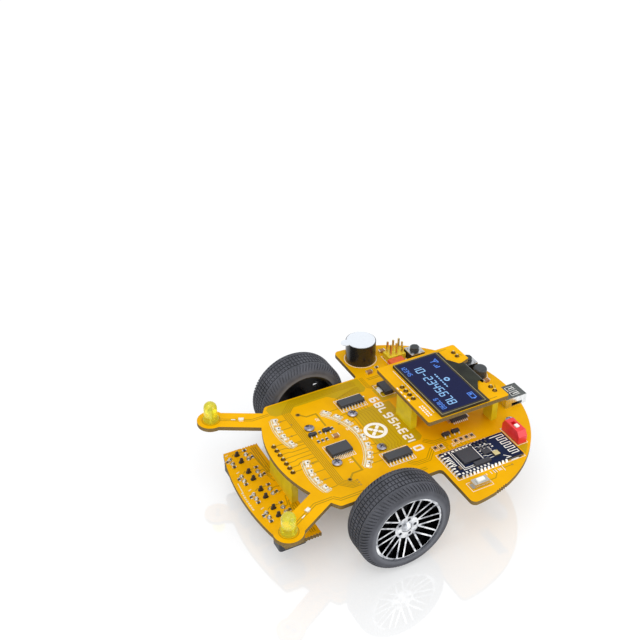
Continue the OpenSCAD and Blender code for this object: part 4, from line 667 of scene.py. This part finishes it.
def board_printing():
    """White printing: part outlines, plain numbers and a centre mark."""
    silk = Artwork()
    for s in SIDES:
        silk.outline(s * CHIP_X, CHIP_Y, 7.4, 10.8, PRINT)
        silk.ring(s * CHIP_X - 1.3, 17.9, 0, 0.35, 12)
    silk.outline(DRIVER_X, DRIVER_Y, 8.6, 9.0, PRINT)
    silk.number("0123456789", 17.6, 22.0, 2.0, 3.0, 3.47, 0.75, turned=True)
    silk.ring(BADGE_X, BADGE_Y, 3.1, 4.4, 40)
    for turn in (45, 135, 225, 315):
        c, s = cos_sin(turn)
        silk.bar(BADGE_X + 2.0 * c, BADGE_Y + 2.0 * s, 1.9, 1.2, turn)
    silk.ring(BADGE_X, BADGE_Y, 0, 0.9, 20)
    silk.outline(42.2, 28.9, 4.4, 8.4, PRINT)
    for y, w in ((33.7, 0.9), (35.6, 1.4), (36.9, 1.5), (37.7, 1.5), (38.8, 1.2), (39.3, 1.0), (39.8, 1.2)):
        silk.bar(39.3, y, w, 0.24, 4)
    silk.ribbon([(38.0, 40.9), (40.6, 40.7)], 0.2)
    for y in (25.6, 28.0, 34.2, 36.5, 38.8, 41.1):
        silk.outline(19.8, y, 2.5, 1.7, 0.14)
    silk.outline(RADIO_X, 37.5, 14.5, 28.0, 0.18)
    silk.outline(-31.4, 48.6, 7.2, 7.2, PRINT)
    silk.ribbon([(-12.0, 66.0), (-12.0, 59.4), (-19.2, 59.4), (-19.2, 64.0)], PRINT)
    silk.ring(-40.4, 29.2, 6.3, 6.5, 40)
    silk.outline(-34.7, 41.4, 6.0, 8.6, PRINT)
    silk.outline(26.7, 54.5, 10.6, 4.4, PRINT)
    silk.outline(-18.4, 27.4, 7.4, 6.4, PRINT)
    silk.ring(-9.1, 64.6, 3.0, 3.2, 28)
    for s in SIDES:
        silk.bar(s * 28.4, -31.2, 1.6, 0.4, s * -61)
    for text, x, y in (("10", -3.2, 4.0), ("21", 12.4, -3.6), ("32", -13.2, -3.4), ("43", 10.6, 4.6),
                       ("54", 21.6, 33.0)):
        silk.number(text, x, y, 0.55, 1.1, 0.95, PRINT, turned=True)
    silk.make("board_printing", TOP + PRINT_LIFT, SILK)


def under_lines():
    """Copper lines on the underside: along the rim, from the headers and to the motors."""
    lines = Artwork()
    for k in range(4):
        step = LINE_GAP * k
        lines.arc(0, RIM_Y, RIM_R - step, 118 + 2 * k, 143 - k, WIDE, 16)
        lines.arc(0, RIM_Y, RIM_R - step, 4 + 2 * k, 28 - k, WIDE, 16)
        lines.ribbon([(-18.0 - step, -19.0), (-18.0 - step, -12.4), (-16.2 - step, -10.6), (-16.2 - step, -7.0)], WIDE)
        lines.ribbon([(14.4 + step, 45.4), (14.4 + step, 30.0 - 2 * k), (22.0 + step, 22.4 - 2 * k)], WIDE)
        lines.ribbon([(-14.4 - step, 45.4), (-14.4 - step, 16.4), (-16.8 - step, 14.0), (-16.8 - step, 8.0)], WIDE)
    for i in range(7):
        x = (i - 3) * PIN_PITCH
        lines.ribbon([(x, -24.0), (x, -20.6), (x * 1.5, -17.4), (x * 1.5, -13.6)], WIDE)
    for s in SIDES:
        lines.bus([(s * 31.2, -37.0), (s * 24.4, -24.8), (s * 24.4, WIRE_Y), (s * 21.0, WIRE_Y)], 2, LINE_GAP, WIDE)
    lines.make("under_lines", UNDER - 0.018 * MM, TRACE, thick=-0.016)


def under_printing():
    """White printing on the underside, drawn as seen from below and then turned over."""
    silk = Artwork()
    for s in SIDES:
        silk.ring(s * WIRE_X, -WIRE_Y, 1.1, 1.3, 24)
        silk.ring(s * ARM_X, -ARM_Y, 3.4, 3.6, 32)
        for k in SIDES:
            silk.ring(s * SCREW_X, k * SCREW_Y, 3.9, 4.1, 32)
    silk.outline(0, -29.0, 27.4, 32.4, 0.2)
    silk.outline(18.0, -38.0, 7.2, 7.2, 0.2)
    silk.number("0123", -34.0, -35.2, 1.2, 2.2, 2.0, 0.3)
    silk.number("4567", 26.0, -35.2, 1.2, 2.2, 2.0, 0.3)
    silk.verts = [(x, -y) for x, y in silk.verts]
    silk.make("under_printing", UNDER - 0.03 * MM, SILK, thick=-0.012)


def sensor_lines():
    """Copper lines on the sensor board."""
    lines = Artwork()
    for i in range(5):
        x = (i - 2) * SENSOR_PITCH
        for k in SIDES:
            lines.ribbon([(x + k * 1.27, -28.6), (x + k * 1.6, -27.4), (x * 0.55 + k * 1.27, -26.4),
                          (x * 0.55 + k * 1.27, -25.6)], BOLD)
        lines.ribbon([(x - 3.4, -29.5), (x - 3.4, -33.6), (x - 2.6, -34.6)], BOLD)
    for k in range(3):
        y = -26.4 + 0.8 * k
        for s in SIDES:
            lines.ribbon([(s * 24.6, y), (s * 9.8, y), (s * 8.6, -25.4 + 0.4 * k)], BOLD)
    lines.make("sensor_lines", LOW + BOARD_LINE_LIFT, TRACE)


def sensor_printing():
    """Cream printing on the sensor board: rows of bars in place of small print."""
    silk = Artwork()
    for i in range(5):
        silk.bar((i - 2) * SENSOR_PITCH - 3.9, -36.2, 0.4, 1.3, 20)
    for i in range(9):
        silk.bar((i - 4) * 1.15 + 1.0, -39.3 + 0.006 * (i - 4) ** 2, 0.75, 0.7 - 0.2 * (i % 2))
    silk.ribbon([(-9.0, -38.6), (-3.6, -38.9)], 0.3)
    silk.make("sensor_printing", LOW + BOARD_PRINT_LIFT, SOFT)


def display_lines():
    """Copper lines on the display board."""
    lines = Artwork()
    for i in range(4):
        x = DISPLAY_X + (i - 1.5) * PIN_PITCH
        lines.ribbon([(x, 25.6), (x, 26.4), (x * 1.5 - 1.0, 27.4)], BOLD)
    for s in SIDES:
        lines.ribbon([(DISPLAY_X + s * 12.1, 54.4), (DISPLAY_X + s * 10.4, 55.4)], BOLD)
        lines.ribbon([(DISPLAY_X + s * 16.6, 29.0), (DISPLAY_X + s * 16.6, 52.0)], BOLD)
    lines.make("display_lines", HIGH + BOARD_LINE_LIFT, TRACE)


def display_printing():
    """White printing on the display board."""
    silk = Artwork()
    silk.ribbon([(-12.5, 26.9), (15.4, 26.9)], 0.22)
    for i in range(4):
        silk.bar(DISPLAY_X + (i - 1.5) * PIN_PITCH, 22.85, 1.3, 0.45)
    for i in range(6):
        silk.bar(10.4 + 1.1 * i, 24.2, 0.75, 0.6 - 0.15 * (i % 2))
        silk.bar(10.4 + 1.1 * i, 25.3, 0.75, 0.5 + 0.15 * (i % 2))
    silk.make("display_printing", HIGH + BOARD_PRINT_LIFT, SILK)


def radio_lines():
    """Meander aerial, fine lines and lands round the chips of the radio board."""
    lines = Artwork()
    aerial = [(24.8, 45.0)]
    for i in range(5):
        x = 24.8 + 2.3 * i
        aerial += [(x, 50.4), (x + 1.15, 50.4), (x + 1.15, 47.2), (x + 2.3, 47.2)]
    lines.ribbon(aerial[:-1], COPPER)
    lines.ribbon([(36.2, 44.2), (36.2, 46.0), (34.4, 44.2)], FINE)
    lines.ribbon([(25.6, 37.0), (34.2, 37.0)], COPPER)
    lines.bus([(25.0, 28.2), (34.3, 28.2), (34.3, 36.8)], 2, 0.75, 0.28)
    for i in range(7):
        lines.bar(26.6 + 0.8 * i, 26.1, 0.4, 1.3)
        lines.bar(25.0, 29.8 + 0.8 * i, 1.0, 0.34)
    for i in range(8):
        lines.bar(35.9, 26.4 + PAD_PITCH * i, 0.9, 0.7)
        lines.bar(24.6, 26.4 + PAD_PITCH * i, 0.9, 0.7)
        lines.bar(RADIO_X + (i - 3.5) * PAD_PITCH, 25.0, 0.7, 0.9)
    for i in range(6):
        x = 26.4 + 1.3 * i
        lines.ribbon([(x, 37.6), (x, 38.4), (x + 0.6, 39.2), (x + 0.6, 43.4 - 0.5 * (i % 3))], HAIRLINE)
        for k in range(4):
            if (i + k) % 3:
                lines.bar(x - 0.3 * (k % 2), 38.4 + 1.7 * k, 0.55, 0.75)
    lines.make("radio_lines", RADIO + 0.02 * MM, SILK)


def solid(name, verts, faces, material, bevel=0.0):
    """A piece from millimetre points."""
    mesh = bpy.data.meshes.new(name)
    mesh.from_pydata([(x * MM, y * MM, z * MM) for x, y, z in verts], [], faces)
    return add_piece(name, mesh, material, bevel)


def prism(x0, x1, y0, y1, low, high, base=0):
    """Vertices and faces of an upright block."""
    points = [(x0, y0), (x1, y0), (x1, y1), (x0, y1)]
    n = len(points)
    verts = [(x, y, low) for x, y in points] + [(x, y, high) for x, y in points]
    faces = [tuple(base + i for i in range(n))[::-1], tuple(base + n + i for i in range(n))]
    faces += [(base + i, base + (i + 1) % n, base + n + (i + 1) % n, base + n + i) for i in range(n)]
    return verts, faces


def radio_solder():
    """Solder fillets from the radio board's contacts out to the main board."""
    spots = []
    for s in SIDES:
        spots += [(RADIO_X + s * RADIO_HALF, RADIO_FRONT + PAD_PITCH * (i + 1), (s, 0)) for i in range(13)]
    spots += [(RADIO_X + (i - 3.5) * PAD_PITCH, RADIO_FRONT, (0, -1)) for i in range(8)]
    profile = [(0, 0), (0, 0.8), (0.2, 0.45), (0.5, 0.02), (0.5, 0)]  # distance out and height over the main board
    half, n, foot = 0.36, len(profile), TOP / MM
    verts, faces = [], []
    for x, y, (ox, oy) in spots:
        start = len(verts)
        for k in SIDES:
            verts += [(x + ox * d - k * oy * half, y + oy * d + k * ox * half, foot + h) for d, h in profile]
        faces.append(tuple(start + i for i in range(n)))
        faces.append(tuple(start + n + i for i in range(n))[::-1])
        faces += [(start + i, start + n + i, start + n + (i + 1) % n, start + (i + 1) % n) for i in range(n)]
    solid("radio_solder", verts, faces, TIN)


def glass_sheet():
    """Dark olive glass round the lit field."""
    look = Look("screen_glass", Roughness=0.08, Specular_IOR_Level=0.15)
    look.set("Base Color", look.ramp(look.noise(90.0, 3.0), [(0.3, linear("#26241a")), (0.7, linear("#4a4430"))]))
    return look.mat


def screen():
    """Display glass: two bevelled layers in place of the plain solid, then the picture on it."""
    low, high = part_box("display_glass")
    (x0, y0, z0), (x1, y1, z1) = [[v / MM for v in corner] for corner in (low, high)]
    step, ledge = 0.6, 1.4  # height of the lower layer, and how far the upper one stays back at the rear
    verts, faces = prism(x0, x1, y0, y1, z0, z0 + step - 0.01)
    more, extra = prism(x0, x1, y0, y1 - ledge, z0 + step, z1 - 0.03, len(verts))
    glass = solid("screen_layers", verts + more, faces + extra, glass_sheet(), bevel=EDGE_BEVEL)
    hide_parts("display_glass")
    film, field_z, picture_z = 0.008, (z1 - 0.02) * MM, (z1 - 0.005) * MM
    # Painted highlight: a pale band along the edge of the glass's top stands for the light on its edges.
    rim = Artwork()
    rim.outline((x0 + x1) / 2, (y0 + y1 - ledge) / 2, x1 - x0 - 0.46, y1 - y0 - ledge - 0.46, 0.2)
    rim.make("screen_edge_highlight", field_z, printed("glass_edge_highlight", "#a3956d", rough=0.25, vary=0.25), thick=film)
    field = Artwork()
    field.poly([(x0 + 1.0, y0 + 0.9), (x1 - 1.0, y0 + 0.9), (x1 - 1.0, y1 - 2.4), (x0 + 1.0, y1 - 2.4)])
    dark = printed("screen_field", "#141a42", rough=0.2, vary=0.25, Specular_IOR_Level=0.1)
    field.make("screen_field", field_z, dark, thick=film)
    picture = Artwork()
    picture.number("10-2345678", -9.8, 33.4, 1.6, 3.2, 2.6, 0.42)
    picture.ring(2.2, 40.9, 0.55, 1.15, 24)
    for i in range(7):
        picture.bar(-2.0 + 1.3 * i, 38.6, 0.85, 0.5 + 0.25 * (i % 2))
    picture.make("screen_picture", picture_z, PIXELS_PALE, thick=film)
    signs = Artwork()
    signs.number("12345", -11.8, 29.5, 0.8, 1.7, 1.35, 0.26)
    signs.number("67890", 10.2, 29.8, 0.8, 1.7, 1.35, 0.26)
    signs.outline(14.3, 43.5, 3.2, 1.9, 0.32)
    signs.bar(16.2, 43.5, 0.5, 1.0)
    signs.bar(13.6, 43.5, 0.9, 1.0)
    signs.ribbon([(-10.6, 44.0), (-8.0, 44.0)], 0.35)
    signs.ribbon([(-10.6, 44.0), (-9.3, 42.6), (-8.0, 44.0)], 0.3)
    signs.ribbon([(-9.3, 44.0), (-9.3, 41.2)], 0.35)
    for i in range(3):
        signs.bar(-7.2 + 0.8 * i, 41.5 + 0.3 * i, 0.45, 0.7 + 0.6 * i)
    signs.make("screen_signs", picture_z, PIXELS_BLUE, thick=film)


def spring_edge_highlights():
    """Painted highlight on the edges of the two springs on the data socket."""
    springs = Artwork()
    for x in (7.5, 10.5):
        springs.ribbon([(x - 1.0, 68.2), (x - 1.0, 64.6), (x + 1.0, 64.6), (x + 1.0, 68.2)], 0.24)
        springs.bar(x, 66.8, 0.5, 2.6)
    springs.make("spring_edge_highlights", top_of("usb_shell") + 0.01 * MM, TIN)


def radio_parts():
    """Metal lid of the radio board's crystal, and the brown chip at its front corner."""
    base = RADIO / MM
    solid("radio_crystal_lid", *prism(31.8, 34.0, 41.0, 43.2, base + 0.8, base + 0.95), GOLD, bevel=EDGE_BEVEL)
    brown = moulded("ceramic_grey", "#7d6b58", rough=0.5, vary=0.16, grain=1800.0)
    solid("radio_capacitor", *prism(32.4, 34.0, 26.4, 27.4, base, base + 0.5), brown, bevel=EDGE_BEVEL)


for draw in (board_planes, board_lines, board_lands, board_vias, lamp_marks, lamp_bands, board_printing, under_lines,
             under_printing, sensor_lines, sensor_printing, display_lines, display_printing, radio_lines, radio_solder,
             screen, spring_edge_highlights, radio_parts):
    draw()


# Studio: pale glossy floor, three soft lights, white air behind. Lengths in metres.

FLOOR_HALF, FLOOR_DROP = 3, 0.00002


def studio_floor():
    """Seen by the camera or in a mirror it glows a little, less so in the middle under the robot, where the weaker
    glow is a painted shadow.
    """
    look = Look("studio_floor", Roughness=0.03, IOR=2.1)
    tone = look.ramp(look.noise(3.0, 2.0), [(0.3, (0.87, 0.87, 0.865, 1)), (0.7, (0.89, 0.89, 0.885, 1))])
    ray = look.add("ShaderNodeLightPath").outputs
    seen = look.math("MAXIMUM", ray["Is Glossy Ray"], ray["Is Transmission Ray"])
    # Painted shadow: the glow falls from 0.42 to 0.06 towards a point under the robot's middle.
    reach = look.add("ShaderNodeVectorMath", operation="DISTANCE")
    reach.inputs[1].default_value = (-0.008, 0.004, 0.0)
    look.link(look.place, reach.inputs[0])
    share = look.spread(reach.outputs["Value"], 0.06, 0.42, 0.012, 0.045, "SMOOTHSTEP")
    seen = look.math("MULTIPLY", look.math("MAXIMUM", ray["Is Camera Ray"], seen), share)
    look.set("Base Color", look.mix(seen, tone, (0.0, 0.0, 0.0, 1.0)))
    look.set("Emission Strength", seen)
    mesh = bpy.data.meshes.new("studio_floor")
    mesh.from_pydata([(a * FLOOR_HALF, b * FLOOR_HALF, 0) for a, b in ((-1, -1), (1, -1), (1, 1), (-1, 1))], [],
                     [(0, 1, 2, 3)])
    mesh.materials.append(look.mat)
    floor = bpy.data.objects.new("studio_floor", mesh)
    floor.location.z = -FLOOR_DROP
    bpy.context.scene.collection.objects.link(floor)


def area_light(name, at, target, size, power):
    data = bpy.data.lights.new(name, "AREA")
    data.shape = "SQUARE"
    data.size = size
    data.energy = power
    light = bpy.data.objects.new(name, data)
    light.location = at
    light.rotation_euler = (Vector(target) - Vector(at)).to_track_quat("-Z", "Y").to_euler()
    bpy.context.scene.collection.objects.link(light)


def studio_air():
    """Soft grey-blue light from all round, white where the camera looks past the floor."""
    world = bpy.data.worlds.new("studio_air")
    world.use_nodes = True
    tree = world.node_tree
    shade = tree.nodes.new("ShaderNodeMix")
    shade.data_type = "RGBA"
    shade.inputs[6].default_value = (0.836, 0.854, 0.88, 1)
    shade.inputs[7].default_value = (1.0, 1.0, 1.0, 1)
    tree.links.new(tree.nodes.new("ShaderNodeLightPath").outputs["Is Camera Ray"], shade.inputs[0])
    tree.links.new(shade.outputs[2], tree.nodes["Background"].inputs["Color"])
    bpy.context.scene.world = world
    bpy.context.scene.view_settings.view_transform = "Standard"


def photo_camera():
    """The photograph's angle: azimuth 62.29, elevation 33.36 degrees."""
    across, sensor = 34.18, 36.0  # field of view in degrees, sensor in millimetres
    data = bpy.data.cameras.new("photo_camera")
    data.sensor_fit = "HORIZONTAL"
    data.sensor_width = sensor
    data.lens = sensor / 2 / math.tan(math.radians(across / 2))
    data.clip_start = 0.01
    camera = bpy.data.objects.new("photo_camera", data)
    right, up, back = (0.4650, 0.8853, 0), (-0.4868, 0.2557, 0.8353), (0.7395, -0.3884, 0.5499)
    turn = Matrix((right, up, back)).transposed()
    camera.matrix_world = Matrix.Translation((0.2508, -0.1419, 0.2644)) @ turn.to_4x4()
    bpy.context.scene.collection.objects.link(camera)
    bpy.context.scene.camera = camera


studio_floor()
area_light("key", (0.35, -0.45, 0.75), (0, 0.02, 0.02), 0.7, 2.3)
area_light("fill", (0.62, 0.36, 0.26), (0, 0.02, 0.01), 0.5, 1.2)
area_light("top", (0.15, -0.05, 1.0), (0, 0.02, 0.02), 0.8, 1.6)
studio_air()
photo_camera()
